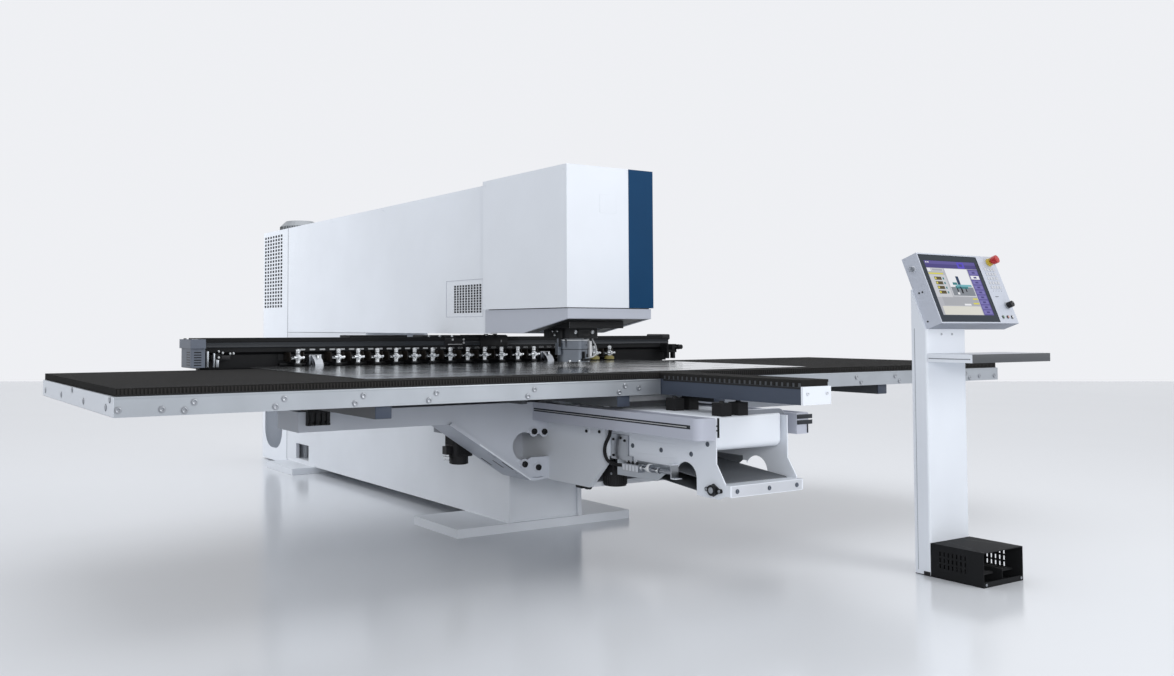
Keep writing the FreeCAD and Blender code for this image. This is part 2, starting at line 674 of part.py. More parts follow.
# ---------------------------------------------------------------- table
def wing_frame(inner_end, outer_end):
    """Aluminium skirt frame of one table wing: four skirts, cross ribs and the rails' T-bars."""
    low, high = sorted((inner_end, outer_end))
    z = (TABLE_BOTTOM, SKIRT_TOP)
    between = (TABLE_FRONT + SKIRT_WALL, TABLE_REAR - SKIRT_WALL)
    foot = (TABLE_BOTTOM, TABLE_BOTTOM + 12)
    profiles = [
        box((low, high), (TABLE_FRONT, between[0]), z),
        box((low, high), (between[1], TABLE_REAR), z),
        box((low, low + SKIRT_WALL), between, z),
        box((high - SKIRT_WALL, high), between, z),
    ]
    for x in spread(low, high, 6)[1:-1]:
        profiles.append(box((x - 20, x + 20), between, (SKIRT_TOP - 40, SKIRT_TOP)))
    for x in (-OUTER_RAIL_X, -INNER_RAIL_X, INNER_RAIL_X, OUTER_RAIL_X):
        if low < x < high:
            profiles.append(box((x - RAIL_WIDTH / 2, x + RAIL_WIDTH / 2), between, foot))
            profiles.append(box((x - 4, x + 4), between, (foot[1], SKIRT_TOP)))
    if low < RACK_LINE_X < high:
        profiles.append(box((RACK_LINE_X - 30, RACK_LINE_X + 4), between, foot))
    return group(profiles)


def brush_decks():
    """Black brush decks that lie on the two wing frames."""
    y = (TABLE_FRONT + DECK_INSET, TABLE_REAR + 4)
    left = box((-TABLE_HALF_LENGTH + DECK_INSET, WING_LEFT_END), y, (SKIRT_TOP, DECK_TOP - 0.3))
    right = box((WING_RIGHT_END, TABLE_HALF_LENGTH - DECK_INSET), y, (SKIRT_TOP, DECK_TOP - 0.3))
    return group([left, right])


def guide_beam():
    """C-section cross beam behind the wings, with the runner blocks that carry the X beam's rail."""
    x = (-GUIDE_BEAM_HALF_LENGTH, GUIDE_BEAM_HALF_LENGTH)
    z = (TABLE_BOTTOM, GUIDE_BEAM_TOP)
    web_back = GUIDE_BEAM_Y[1] - 60
    web = box(x, (GUIDE_BEAM_Y[0], web_back), z)
    edges = framed(x, (web_back, GUIDE_BEAM_Y[1]), z, ((x[0] + 30, x[1] - 30), (z[0] + 14, z[1] - 14)), "y")
    y = (X_RAIL_Y[0] - RUNNER_WALL, X_RAIL_Y[1] + RUNNER_WALL)
    groove = box(x, (X_RAIL_Y[0] - RUNNER_CLEARANCE, X_RAIL_Y[1] + RUNNER_CLEARANCE),
                 (X_BEAM_BOTTOM - X_RAIL_HEIGHT - RUNNER_CLEARANCE, X_BEAM_BOTTOM))
    runners = []
    for place in RUNNER_X:
        block = box((place - RUNNER_LENGTH / 2, place + RUNNER_LENGTH / 2), y, (GUIDE_BEAM_TOP, X_BEAM_BOTTOM - 1))
        runners.append(block.cut(groove))
    return group([web] + edges + runners)


def rack():
    """Toothed rack of the table drive; its teeth point towards the pinion."""
    low = PINION_Y - TABLE_TRAVEL - 60
    teeth = int((2 * TABLE_TRAVEL + 120) / PITCH)
    root = RACK_LINE_X - 1.25 * MODULE
    tip = RACK_LINE_X + MODULE
    half = TOOTH_SHARE * PITCH / 2
    slope = math.tan(math.radians(20)) * MODULE
    first = PINION_Y + (math.floor((low - PINION_Y) / PITCH) + 0.5) * PITCH
    outline = [(root - 24, first - PITCH / 2)]
    for index in range(teeth):
        y = first + index * PITCH
        outline += [(root, y - half - 1.25 * slope), (tip, y - half + slope),
                    (tip, y + half - slope), (root, y + half + 1.25 * slope)]
    outline.append((root - 24, first + (teeth - 0.5) * PITCH))
    return extrude(outline, "z", PINION_BOTTOM, TABLE_BOTTOM)


def y_rails():
    """Four rails under the table, tied to the guide beam, and the drive rack."""
    rails = []
    for x in (-OUTER_RAIL_X, -INNER_RAIL_X, INNER_RAIL_X, OUTER_RAIL_X):
        rails.append(box((x - RAIL_WIDTH / 2, x + RAIL_WIDTH / 2), (RAIL_FRONT, GUIDE_BEAM_Y[1]),
                         (RAIL_BOTTOM, RAIL_TOP)))
    return group(rails + [rack()])


def pinion():
    """Drive pinion with straight-flanked teeth; one tooth points into a space of the rack."""
    root, tip = PITCH_RADIUS - 1.25 * MODULE, PITCH_RADIUS + MODULE * 0.9
    step = 2 * math.pi / PINION_TEETH
    half = TOOTH_SHARE * step / 2
    outline = []
    for index in range(PINION_TEETH):
        middle = math.pi + index * step
        for radius, angle in ((root, -half * 1.35), (PITCH_RADIUS, -half), (tip, -half * 0.42),
                              (tip, half * 0.42), (PITCH_RADIUS, half), (root, half * 1.35)):
            outline.append((PINION_X + radius * math.cos(middle + angle),
                            PINION_Y + radius * math.sin(middle + angle)))
    wheel = extrude(outline, "z", PINION_BOTTOM, PINION_BOTTOM + PINION_HEIGHT)
    shaft = disc(PINION_SHAFT, (MOTOR_TOP - 25, PINION_BOTTOM + 1), PINION_X, PINION_Y)
    return fuse([wheel, shaft])


# ---------------------------------------------------------------- X carriage
def x_beam():
    """Travelling beam behind the sheet, with a ledge for the tools and a rail underneath."""
    front, back, top = X_BEAM_FRONT, X_BEAM_BACK, X_BEAM_TOP
    low = X_BEAM_BOTTOM
    profile = [
        (LEDGE_Y, low), (LEDGE_Y, low + 70), (front, low + 84), (front, low + 104),
        (front + 8, low + 106), (front + 8, low + 134), (front, low + 136), (front, top),
        (back, top), (back, low),
    ]
    beam = extrude(profile, "x", X_BEAM_LEFT, X_BEAM_RIGHT)
    slots = []
    for x in spread(-1180, -440, 14):
        slots.append(box((x, x + 34), (front - 1, front + 3), (low + 90, low + 97)))
    rail = box((X_BEAM_LEFT, X_BEAM_RIGHT), X_RAIL_Y, (low - X_RAIL_HEIGHT, low))
    covers = [box((-880, -530), (front + 20, front + 150), (top, top + 12)),
              box((-440, -190), (front + 4, front + 120), (top, top + 11)),
              box((-125, 12), (front + 4, front + 120), (top, top + 12))]
    return group([cut(beam, slots), rail] + covers)


def x_end_brackets():
    """Left end plate with louvres and right end roller unit of the X beam."""
    low = DECK_TOP + 3
    left = box((X_BEAM_LEFT - 75, X_BEAM_LEFT), (X_BEAM_FRONT - 70, X_BEAM_FRONT + 120), (960, 1004))
    foot = box((X_BEAM_LEFT - 70, X_BEAM_LEFT), (X_BEAM_FRONT - 60, X_BEAM_FRONT + 100), (low, 962))
    slots = []
    for row in range(5):
        z = 875 + 15 * row
        slots.append(box((X_BEAM_LEFT - 55, X_BEAM_LEFT - 20), (X_BEAM_FRONT - 62, X_BEAM_FRONT - 52), (z, z + 6)))
    left = cut(fuse([left, foot]), slots)
    arm = box((X_BEAM_RIGHT - 70, X_BEAM_RIGHT + 12), (X_BEAM_FRONT - 60, X_BEAM_FRONT), (905, 958))
    legs = []
    for x in (X_BEAM_RIGHT - 66, X_BEAM_RIGHT - 16):
        legs.append(box((x, x + 20), (X_BEAM_FRONT - 56, X_BEAM_FRONT - 30), (low + 2, 906)))
    roller = rod(15, (X_BEAM_RIGHT + 2, X_BEAM_FRONT - 74, 940), (X_BEAM_RIGHT + 40, X_BEAM_FRONT - 74, 940))
    axle = rod(6, (X_BEAM_RIGHT - 40, X_BEAM_FRONT - 74, 940), (X_BEAM_RIGHT + 3, X_BEAM_FRONT - 74, 940))
    hold = box((X_BEAM_RIGHT - 46, X_BEAM_RIGHT - 26), (X_BEAM_FRONT - 84, X_BEAM_FRONT - 59), (925, 955))
    right = fuse([arm, roller, axle, hold] + legs)
    return group([left, right])


def magazine_place(index):
    return FIRST_TOOL_X + TOOL_PITCH * index


def magazine_tools():
    """Tools in the straight magazine: holder fork, white tool body and cross bar each."""
    tools = []
    for index in range(TOOL_COUNT):
        if index in CLAMP_PLACES:
            continue
        x = magazine_place(index)
        fork = box((x - 34, x + 34), (X_BEAM_FRONT - 74, LEDGE_Y), (902, 912))
        body = prism(8, 13, (880, 952), x, X_BEAM_FRONT - 74)
        bar = box((x - 26, x + 26), (X_BEAM_FRONT - 92, X_BEAM_FRONT - 80), (906, 914))
        tools.append(fuse([fork, body, bar]))
    return group(tools)


def clamp_axis(index):
    """Pivot of a clamp's upper jaw."""
    return (magazine_place(CLAMP_PLACES[index]), X_BEAM_FRONT - 20, 908.0)


def clamp_bases():
    """Fixed lower halves of the sheet clamps: tongue under the sheet, cheeks and pivot pin."""
    bases = []
    for index in range(len(CLAMP_PLACES)):
        x, y, z = clamp_axis(index)
        tongue = box((x - 34, x + 34), (SHEET_Y[1] - 28, LEDGE_Y), (SHEET_LINE - 10, SHEET_LINE - FACE_GAP))
        stop = box((x - 34, x + 34), (SHEET_Y[1] + 1, LEDGE_Y), (SHEET_LINE - FACE_GAP, SHEET_LINE + 6))
        cheeks = [box((x - 34, x - 24), (y - 14, LEDGE_Y), (SHEET_LINE + 5, z + 14)),
                  box((x + 24, x + 34), (y - 14, LEDGE_Y), (SHEET_LINE + 5, z + 14))]
        pin = rod(5, (x - 30, y, z), (x + 30, y, z))
        bases.append(fuse([tongue, stop, pin] + cheeks))
    return group(bases)


def clamp_jaw(index):
    """Upper jaw of one sheet clamp, shut on the sheet."""
    x, y, z = clamp_axis(index)
    outline = [
        (y + 12, z - 12), (y + 12, z + 12), (y - 12, z + 14), (SHEET_Y[1] - 20, SHEET_TOP + 30),
        (SHEET_Y[1] - 34, SHEET_TOP + 10), (SHEET_Y[1] - 34, SHEET_TOP + FACE_GAP),
        (SHEET_Y[1] - 8, SHEET_TOP + FACE_GAP), (y - 14, z - 14),
    ]
    jaw = extrude(outline, "x", x - 23, x + 23)
    return jaw.cut(rod(5 + SHAFT_CLEARANCE, (x - 40, y, z), (x + 40, y, z)))


def sheet():
    """Punched workpiece on the table, with its slots and the hole under the punch."""
    plate = box(SHEET_X, SHEET_Y, (SHEET_LINE, SHEET_TOP))
    z = (SHEET_LINE - 1, SHEET_TOP + 1)
    holes = [disc(PUNCH_RADIUS + 1, z)]
    for row, y in enumerate(spread(SHEET_Y[0] + 130, SHEET_Y[1] - 230, 5)):
        for column, x in enumerate(spread(SHEET_X[0] + 190, SHEET_X[1] - 190, 9)):
            length = 150 if (row + column) % 2 else 90
            clear_of_punch = math.hypot(x, y) > 190
            if clear_of_punch:
                holes.append(box((x - length / 2, x + length / 2), (y - 7, y + 7), z))
    return cut(plate, holes)


# ---------------------------------------------------------------- fixed centre of the table
def comb(x, outward, low, high):
    """Row of comb teeth under the brush strip's side edge."""
    pitch = 28.0
    teeth = []
    count = int((high - low) / pitch)
    for index in range(count):
        y = low + pitch * (index + 0.25)
        teeth.append(box(sorted((x, x + outward)), (y, y + pitch / 2), (SKIRT_TOP, DECK_TOP - 10)))
    return teeth


def centre_beam():
    """Fixed beam between the wings: from behind the die to the end of the front extension."""
    beam = box((CENTRE_LEFT, CENTRE_RIGHT), (EXTENSION_END + 10, CENTRE_REAR), (TABLE_BOTTOM, SKIRT_TOP))
    base = box((CENTRE_LEFT + 4, CENTRE_RIGHT - 4), (NOSE + 20, -DIE_HOLDER_RADIUS - 20),
               (LOWER_ARM_TOP, TABLE_BOTTOM))
    flap_hole = box((CENTRE_LEFT + 6, CENTRE_RIGHT - 6), FLAP_Y, (0, 2000))
    die_hole = disc(TURNTABLE_RADIUS + 2, (0, 2000))
    channel = box((CENTRE_LEFT + 12, CENTRE_RIGHT - 12), (EXTENSION_END + 20, NOSE - 30), (0, SKIRT_TOP - 8))
    hinge = rod(FLAP_PIN_RADIUS + SHAFT_CLEARANCE, (CENTRE_LEFT - 1, FLAP_HINGE_Y, FLAP_HINGE_Z),
                (CENTRE_RIGHT + 1, FLAP_HINGE_Y, FLAP_HINGE_Z))
    return cut(fuse([beam, base]), [flap_hole, die_hole, channel, hinge])


def centre_brush():
    """Black brush strip on the centre beam, with comb teeth along both edges."""
    inset = 4.0
    left, right = CENTRE_LEFT + inset, CENTRE_RIGHT - inset
    strip = box((left, right), (EXTENSION_END + 12, CENTRE_REAR), (SKIRT_TOP, DECK_TOP))
    edge = box((CENTRE_LEFT, CENTRE_RIGHT), (EXTENSION_END + 12, CENTRE_REAR), (DECK_TOP - 11, DECK_TOP))
    teeth = comb(CENTRE_LEFT, inset + 0.5, EXTENSION_END + 20, TABLE_FRONT)
    teeth += comb(CENTRE_RIGHT, -inset - 0.5, EXTENSION_END + 20, TABLE_FRONT)
    flap_hole = box((CENTRE_LEFT + 6, CENTRE_RIGHT - 6), (FLAP_Y[0], FLAP_REAR + 2), (0, 2000))
    die_hole = disc(TURNTABLE_RADIUS + 2, (0, 2000))
    return cut(fuse([strip, edge] + teeth), [flap_hole, die_hole])


def extension_end_plate():
    """White plate that closes the front extension."""
    return box((CENTRE_LEFT, CENTRE_RIGHT), (EXTENSION_END, EXTENSION_END + 10), (TABLE_BOTTOM, SKIRT_TOP + 2))


def part_flap():
    """Flap in front of the die that tips finished parts into the chute."""
    side = (CENTRE_LEFT + 7, CENTRE_RIGHT - 7)
    y, z = FLAP_HINGE_Y, FLAP_HINGE_Z
    plate = box(side, (FLAP_Y[0] + 3, FLAP_REAR), (DECK_TOP - FLAP_THICKNESS, DECK_TOP))
    web = box(side, (FLAP_REAR - 10, FLAP_REAR), (z, DECK_TOP - 1))
    barrel = rod(9, (side[0], y, z), (side[1], y, z))
    ribs = []
    for x in (-50, 38):
        ribs.append(extrude([(FLAP_REAR - 4, z), (FLAP_REAR - 4, DECK_TOP - 4), (FLAP_Y[0] + 60, DECK_TOP - 4)],
                            "x", x - 4, x + 4))
    end = 1 + FLAP_PIN_LENGTH
    pins = rod(FLAP_PIN_RADIUS, (side[0] - end, y, z), (side[1] + end, y, z))
    return fuse([plate, web, barrel, pins] + ribs)


def buffers():
    """Rubber buffers with studs, between the hood and the extension."""
    rows = ((-1180.0, (-131.0, -36.0)), (-860.0, (-92.0, -6.0)))
    blocks = []
    for y, places in rows:
        for x in places:
            half = BUFFER_SIZE / 2
            block = box((x - half, x + half), (y - half, y + half), (HOOD_TOP, HOOD_TOP + 54))
            stud = disc(9, (HOOD_TOP + 53, HOOD_TOP + 62), x, y)
            blocks.append(fuse([block, stud]))
    return group(blocks)


# ---------------------------------------------------------------- outriggers and guides
def outrigger_outline():
    """Side view of the left outrigger, with the round relief beside the frame."""
    return [
        (-OUTRIGGER_END, OUTRIGGER_TOP), (-OUTRIGGER_END, OUTRIGGER_BOTTOM), (-HAUNCH_X, OUTRIGGER_BOTTOM),
        (-HAUNCH_LOW_X, LOWER_ARM_BOTTOM), (-FRAME_HALF_WIDTH, LOWER_ARM_BOTTOM + 4),
        (-FRAME_HALF_WIDTH, OUTRIGGER_TOP),
    ]


def left_outrigger():
    """Cantilever beam that carries the table's outer rail."""
    front, back = OUTRIGGER_Y
    thick = OUTRIGGER_PLATE
    outer = extrude(outrigger_outline(), "y", front, back)
    inner_points = [
        (-OUTRIGGER_END + thick, OUTRIGGER_TOP - thick), (-OUTRIGGER_END + thick, OUTRIGGER_BOTTOM + thick),
        (-HAUNCH_X + 4, OUTRIGGER_BOTTOM + thick), (-HAUNCH_LOW_X + 4, LOWER_ARM_BOTTOM + thick + 4),
        (-FRAME_HALF_WIDTH + 1, LOWER_ARM_BOTTOM + thick + 4), (-FRAME_HALF_WIDTH + 1, OUTRIGGER_TOP - thick),
    ]
    hollow = extrude(inner_points, "y", front + thick, back - thick)
    relief = rod(68, (-380, front - 30, 486), (-380, front + thick + 1, 486))
    slot = box((-380, -FRAME_HALF_WIDTH + 1), (front - 30, front + thick + 1), (430, 542))
    lip_points = [
        (-HAUNCH_X - 8, OUTRIGGER_BOTTOM), (-HAUNCH_X, OUTRIGGER_BOTTOM + 1), (-HAUNCH_X + 8, OUTRIGGER_BOTTOM + 10),
        (-HAUNCH_LOW_X + 4, LOWER_ARM_BOTTOM + 13), (-FRAME_HALF_WIDTH - 40, LOWER_ARM_BOTTOM + 15),
        (-FRAME_HALF_WIDTH - 40, LOWER_ARM_BOTTOM + 4), (-HAUNCH_LOW_X, LOWER_ARM_BOTTOM),
    ]
    lip = extrude(lip_points, "y", front - FLANGE_LIP, front)
    body = cut(fuse([outer, lip]), [hollow, relief, slot])
    slope = math.degrees(math.atan2(OUTRIGGER_BOTTOM - LOWER_ARM_BOTTOM, HAUNCH_X - HAUNCH_LOW_X))
    slots = []
    for share in (0.55, 0.7, 0.85):
        x = -HAUNCH_X + share * (HAUNCH_X - HAUNCH_LOW_X)
        z = OUTRIGGER_BOTTOM - share * (OUTRIGGER_BOTTOM - LOWER_ARM_BOTTOM)
        tool = box((x - 25, x + 25), (front + 24, front + 34), (z - 30, z + 30))
        tool.rotate(V(x, 0, z), Y_AXIS, slope)
        slots.append(tool)
    post = box((PINION_X - 62, PINION_X + 62), (back - 1, back + 142), (MOTOR_TOP, MOTOR_TOP + 20))
    post = post.cut(disc(PINION_SHAFT + SHAFT_CLEARANCE, (0, 1000), PINION_X, PINION_Y))
    return fuse([cut(body, slots), post])


def right_outrigger():
    front, back = OUTRIGGER_Y
    drive_post = box((-PINION_X - 70, -PINION_X + 70), (back, back + 200), (590, 630))
    return mirror(left_outrigger()).cut(drive_post)


def guide_carriages():
    """Guide blocks on the outriggers' ends, each with a front cheek."""
    front = OUTRIGGER_Y[0]
    x = -OUTER_RAIL_X
    low, high = OUTRIGGER_TOP, RAIL_BOTTOM - FACE_GAP
    parts = [
        box((x - 52, x + 52), (front - 24, OUTRIGGER_Y[1] - 10), (low, high)),
        box((x - 52, x + 52), (front - 24, front), (641, high)),
    ]
    block = fuse(parts)
    return both_sides(block)


def guide_channels():
    """Inner guide channels beside the lower arm; the left one shows beside the conveyor."""
    outer = -FRAME_HALF_WIDTH - 94
    rear = OUTRIGGER_Y[0]
    body = box((outer, -FRAME_HALF_WIDTH), (-1250, rear), (612, 700))
    corner = upright_edges(body, [(outer, -1250)])
    body = body.makeFillet(34, corner)
    trough = box((outer + 14, -FRAME_HALF_WIDTH - 16), (-1225, rear + 1), (655, 701))
    rib = box((outer + 40, outer + 48), (-1200, rear), (654, 676))
    left = fuse([body.cut(trough), rib])
    carriage = box((outer + 26, -FRAME_HALF_WIDTH - 22), (-390, -240), (677, RAIL_BOTTOM - FACE_GAP))
    rail = box((outer + 20, -FRAME_HALF_WIDTH - 16), (-400, -230), (655, 678))
    left = fuse([left, rail, carriage])
    return both_sides(left)


def motors():
    """Table drive motor under the left outrigger and conveyor motor under the lower arm."""
    x, y = PINION_X, PINION_Y
    body = box((x - 55, x + 55), (y - 55, y + 55), (420, MOTOR_TOP))
    body = body.makeFillet(18, upright_edges(body, [(x - 55, y - 55), (x + 55, y - 55), (x - 55, y + 55),
                                                    (x + 55, y + 55)]))
    cap = disc(48, (385, 421), x, y)
    plug = box((x - 84, x - 54), (y - 20, y + 20), (430, 470))
    bore = disc(PINION_SHAFT + 1, (MOTOR_TOP - 40, MOTOR_TOP + 1), x, y)
    drive = fuse([body, cap, plug]).cut(bore)
    belt_x, belt_y = -140.0, -505.0
    gear = box((belt_x - 50, belt_x + 50), (belt_y - 50, belt_y + 50), (LOWER_ARM_BOTTOM + 60, 450))
    can = disc(52, (LOWER_ARM_BOTTOM + 16, LOWER_ARM_BOTTOM + 61), belt_x, belt_y)
    arm = box((-PLATE_INNER, belt_x - 49), (belt_y + 10, belt_y + 50), (400, 440))
    return group([drive, fuse([gear, can, arm])])


# ---------------------------------------------------------------- part conveyor
def conveyor_plate():
    """Left side plate of the conveyor with its curved cut-out."""
    x = (-CONVEYOR_HALF_WIDTH, -CONVEYOR_HALF_WIDTH + CONVEYOR_PLATE)
    outline = [
        (-300, CONVEYOR_EDGE), (-995, CONVEYOR_EDGE), (-995, 386), (-1150, 372), (-1240, 372),
        (CONVEYOR_FRONT, 388), (CONVEYOR_FRONT, 440), (-1225, 513), (-1225, HOOD_TOP - 8), (-300, HOOD_TOP - 8),
    ]
    plate = extrude(outline, "x", x[0], x[1])
    relief = rod(62, (x[0] - 1, -1052, 441), (x[1] + 1, -1052, 441))
    under = box((x[0] - 1, x[1] + 1), (-1114, -990), (300, 441))
    return cut(plate, [relief, under])


def conveyor_frame():
    """Two side plates joined by the front bar and two cross ties."""
    plate = conveyor_plate()
    inner = CONVEYOR_HALF_WIDTH - CONVEYOR_PLATE
    shaft = ROLLER_SHAFT + SHAFT_CLEARANCE
    bar = box((-205, 205), LIP_Y, (387, 433))
    ledge = box((-205, 205), (LIP_Y[0], ROLLER_Y - ROLLER_RADIUS - 4), (428, 433))
    ears = box((-CONVEYOR_HALF_WIDTH, -inner), (LIP_Y[0], CONVEYOR_FRONT + 4), (389, 433))
    ties = [rod(8, (-inner, y, 487), (inner, y, 487)) for y in (-580, -340)]
    holes = []
    for y, z in ROLLERS:
        holes.append(rod(shaft, (-300, y, z), (300, y, z)))
    lug = box((-CONVEYOR_HALF_WIDTH, -inner), (REAR_ROLLER_Y - 34, REAR_ROLLER_Y + 34),
              (REAR_ROLLER_Z - 34, CONVEYOR_EDGE))
    frame = fuse([plate, mirror(plate), bar, ledge, ears, mirror(ears), lug, mirror(lug)] + ties)
    return cut(frame, holes)


def conveyor_hood():
    """Rounded white hood over the conveyor, with its raised collar."""
    half = CONVEYOR_HALF_WIDTH - CONVEYOR_PLATE
    x = (-half, half)
    body = box(x, (HOOD_FRONT, -640), (560, HOOD_TOP))
    body = body.makeFillet(38, upright_edges(body, [(x[0], HOOD_FRONT), (x[1], HOOD_FRONT)]))
    hollow = box((x[0] + 5, x[1] - 5), (HOOD_FRONT + 40, -639), (500, HOOD_TOP - 6))
    body = body.cut(hollow)
    top = FRAME_HALF_WIDTH - 1
    collar = box((0, top), (HOOD_FRONT + 22, HOOD_FRONT + 40), (588, HOOD_TOP + 20))
    edges = [e for e in collar.Edges
             if abs(e.Vertexes[0].Y - e.Vertexes[-1].Y) > 1
             and e.Vertexes[0].X > 0 and e.Vertexes[0].Z > HOOD_TOP]
    collar = collar.makeFillet(40, edges)
    plate_cut = box((CONVEYOR_HALF_WIDTH - CONVEYOR_PLATE, CONVEYOR_HALF_WIDTH), (HOOD_FRONT - 50, HOOD_FRONT + 60),
                    (500, HOOD_TOP - 8))
    return fuse([body, collar]).cut(plate_cut)


def conveyor_belt():
    """Closed belt loop round the two rollers; it climbs towards the rear."""
    half = CONVEYOR_HALF_WIDTH - CONVEYOR_PLATE - 6
    inner = ROLLER_RADIUS + FACE_GAP
    outer = inner + BELT_THICKNESS
    rise = math.atan2(REAR_ROLLER_Z - ROLLER_Z, REAR_ROLLER_Y - ROLLER_Y)

    def loop(radius, side):
        across = (-radius * math.sin(rise), radius * math.cos(rise))
        corners = [(y + sign * across[0], z + sign * across[1])
                   for (y, z), sign in zip(ROLLERS + ROLLERS[::-1], (1, 1, -1, -1))]
        straight = extrude(corners, "x", -side, side)
        noses = [rod(radius, (-side, y, z), (side, y, z)) for y, z in ROLLERS]
        return fuse([straight] + noses)

    return loop(outer, half).cut(loop(inner, half + 1))


def roller(place, end):
    """Belt roller; the shaft reaches into the flange bearings or ends in the side plates."""
    y, z = place
    half = CONVEYOR_HALF_WIDTH - CONVEYOR_PLATE - 8
    drum = rod(ROLLER_RADIUS, (-half, y, z), (half, y, z))
    shaft = rod(ROLLER_SHAFT, (-end, y, z), (end, y, z))
    return fuse([drum, shaft])


def flange_bearings():
    """Rhombic flange bearings of the front roller, one on each side plate."""
    x = -CONVEYOR_HALF_WIDTH
    y, z = ROLLERS[0]
    hub = rod(22, (x - 18, y, z), (x, y, z))
    flange = extrude([(y - 44, z), (y, z - 26), (y + 44, z), (y, z + 26)], "x", x - 8, x)
    tips = [rod(9, (x - 8, side, z), (x, side, z)) for side in (y - 38, y + 38)]
    bore = rod(ROLLER_SHAFT + SHAFT_CLEARANCE, (x - 20, y, z), (x + 1, y, z))
    return both_sides(fuse([hub, flange] + tips).cut(bore))


def part_slide():
    """Bent sheet that leads parts from the flap to the belt, and the pan under the belt's rear."""
    inner = CONVEYOR_HALF_WIDTH - CONVEYOR_PLATE
    slide = [
        (-300, 636), (-300, 642), (-560, 542), (-690, 502), (-690, 496), (-560, 536),
    ]
    plate = extrude(slide, "x", -inner, inner)
    floor = extrude([(-600, 396), (-600, 400), (-864, 404), (-864, 400)], "x", -inner, inner)
    cheek = extrude([(-600, 396), (-600, CONVEYOR_EDGE + 20), (-975, CONVEYOR_EDGE + 20), (-975, CONVEYOR_EDGE),
                     (-868, 400)], "x", -inner, -inner + COVER_GAP)
    bearing_relief = rod(ROLLER_SHAFT + 8, (-inner - 1, REAR_ROLLER_Y, REAR_ROLLER_Z),
                         (-inner + COVER_GAP + 1, REAR_ROLLER_Y, REAR_ROLLER_Z))
    cheek = cheek.cut(bearing_relief)
    return group([plate, fuse([floor, cheek, mirror(cheek)])])


def pneumatic_unit():
    """Valve plate, small cylinder and bent bracket on the conveyor's left side."""
    x = -CONVEYOR_HALF_WIDTH
    plate = box((x - 8, x), (-690, -572), (468, 580))
    valve = box((x - 44, x - 8), (-800, -692), (430, 462))
    joint = box((x - 10, x), (-720, -680), (440, 490))
    cylinder = rod(12, (x - 26, -920, 452), (x - 26, -799, 452))
    knob = rod(17, (x - 26, -872, 456), (x - 26, -848, 456))
    stem = rod(6, (x - 26, -1000, 452), (x - 26, -919, 452))
    bracket = box((x - 40, x), (-1006, -1000), (430, 486))
    return fuse([plate, valve, joint, cylinder, knob, stem, bracket])


# ---------------------------------------------------------------- console
def console_column():
    """Folded column on the floor that carries the screen housing."""
    x = (CONSOLE_LEFT, CONSOLE_LEFT + COLUMN_WIDTH)
    front, back = CONSOLE_FRONT, CONSOLE_FRONT + COLUMN_DEPTH
    sine, cosine = math.sin(math.radians(HOUSING_TILT)), math.cos(math.radians(HOUSING_TILT))
    foot_y = HOUSING_FOOT[1] + HOUSING_DEPTH * cosine
    foot_z = HOUSING_FOOT[2] - HOUSING_DEPTH * sine
    top = foot_z + (back - foot_y) * cosine / sine
    low_front = foot_z + (foot_y - front) * sine / cosine
    outline = [(front, 0), (back, 0), (back, top), (foot_y, foot_z), (front, low_front)]
    column = extrude(outline, "x", x[0], x[1])
    edges = upright_edges(column, [(x[0], front), (x[1], front)])
    return column.makeFillet(10, edges)


def to_housing(shape):
    """Moves a shape drawn on an upright front face onto the tilted housing."""
    moved = shape.copy()
    moved.rotate(V(0, 0, 0), X_AXIS, -HOUSING_TILT)
    moved.translate(V(*HOUSING_FOOT))
    return moved


def console_housing():
    """Screen housing with the raised keypad strip; drawn upright, then tilted back."""
    case = box((0, HOUSING_WIDTH), (0, HOUSING_DEPTH), (0, HOUSING_HEIGHT))
    recess = box((6, BEZEL_WIDTH), (-1, 4), (6, HOUSING_HEIGHT - 6))
    pad = []
    for row in range(5):
        for column in range(4):
            x = BEZEL_WIDTH + 30 + column * 21
            z = 168 + row * 22
            pad.append(box((x, x + 15), (-1.2, 0.5), (z, z + 15)))
    sockets = [
        rod(7, (BEZEL_WIDTH + 34, -1, 30), (BEZEL_WIDTH + 34, 30, 30)),
        rod(7, (BEZEL_WIDTH + 68, -1, 30), (BEZEL_WIDTH + 68, 30, 30)),
        rod(7, (BEZEL_WIDTH + 102, -1, 30), (BEZEL_WIDTH + 102, 30, 30)),
        rod(5 + SHAFT_CLEARANCE, (BEZEL_WIDTH + 100, -1, 86), (BEZEL_WIDTH + 100, 30, 86)),
        rod(8 + SHAFT_CLEARANCE, (BEZEL_WIDTH + 86, -20, 300), (BEZEL_WIDTH + 86, 40, 300)),
        rod(5 + SHAFT_CLEARANCE, (-1, 40, 268), (30, 40, 268)),
    ]
    collar = rod(17, (BEZEL_WIDTH + 86, -12, 300), (BEZEL_WIDTH + 86, 1, 300))
    case = fuse([case, collar] + pad)
    return to_housing(cut(case, [recess] + sockets))


def console_screen():
    """Dark glass bezel with the display behind it."""
    glass = box((6, BEZEL_WIDTH), (0, 4), (6, HOUSING_HEIGHT - 6))
    window = box((34, BEZEL_WIDTH - 26), (-1, 1), (38, HOUSING_HEIGHT - 34))
    return to_housing(glass.cut(window))


def e_stop_button():
    """Mushroom button with its stem in the collar."""
    x, z = BEZEL_WIDTH + 86, 300
    stem = rod(8, (x, -26, z), (x, 18, z))
    cap = rod(19, (x, -44, z), (x, -24, z))
    return to_housing(fuse([stem, cap]))


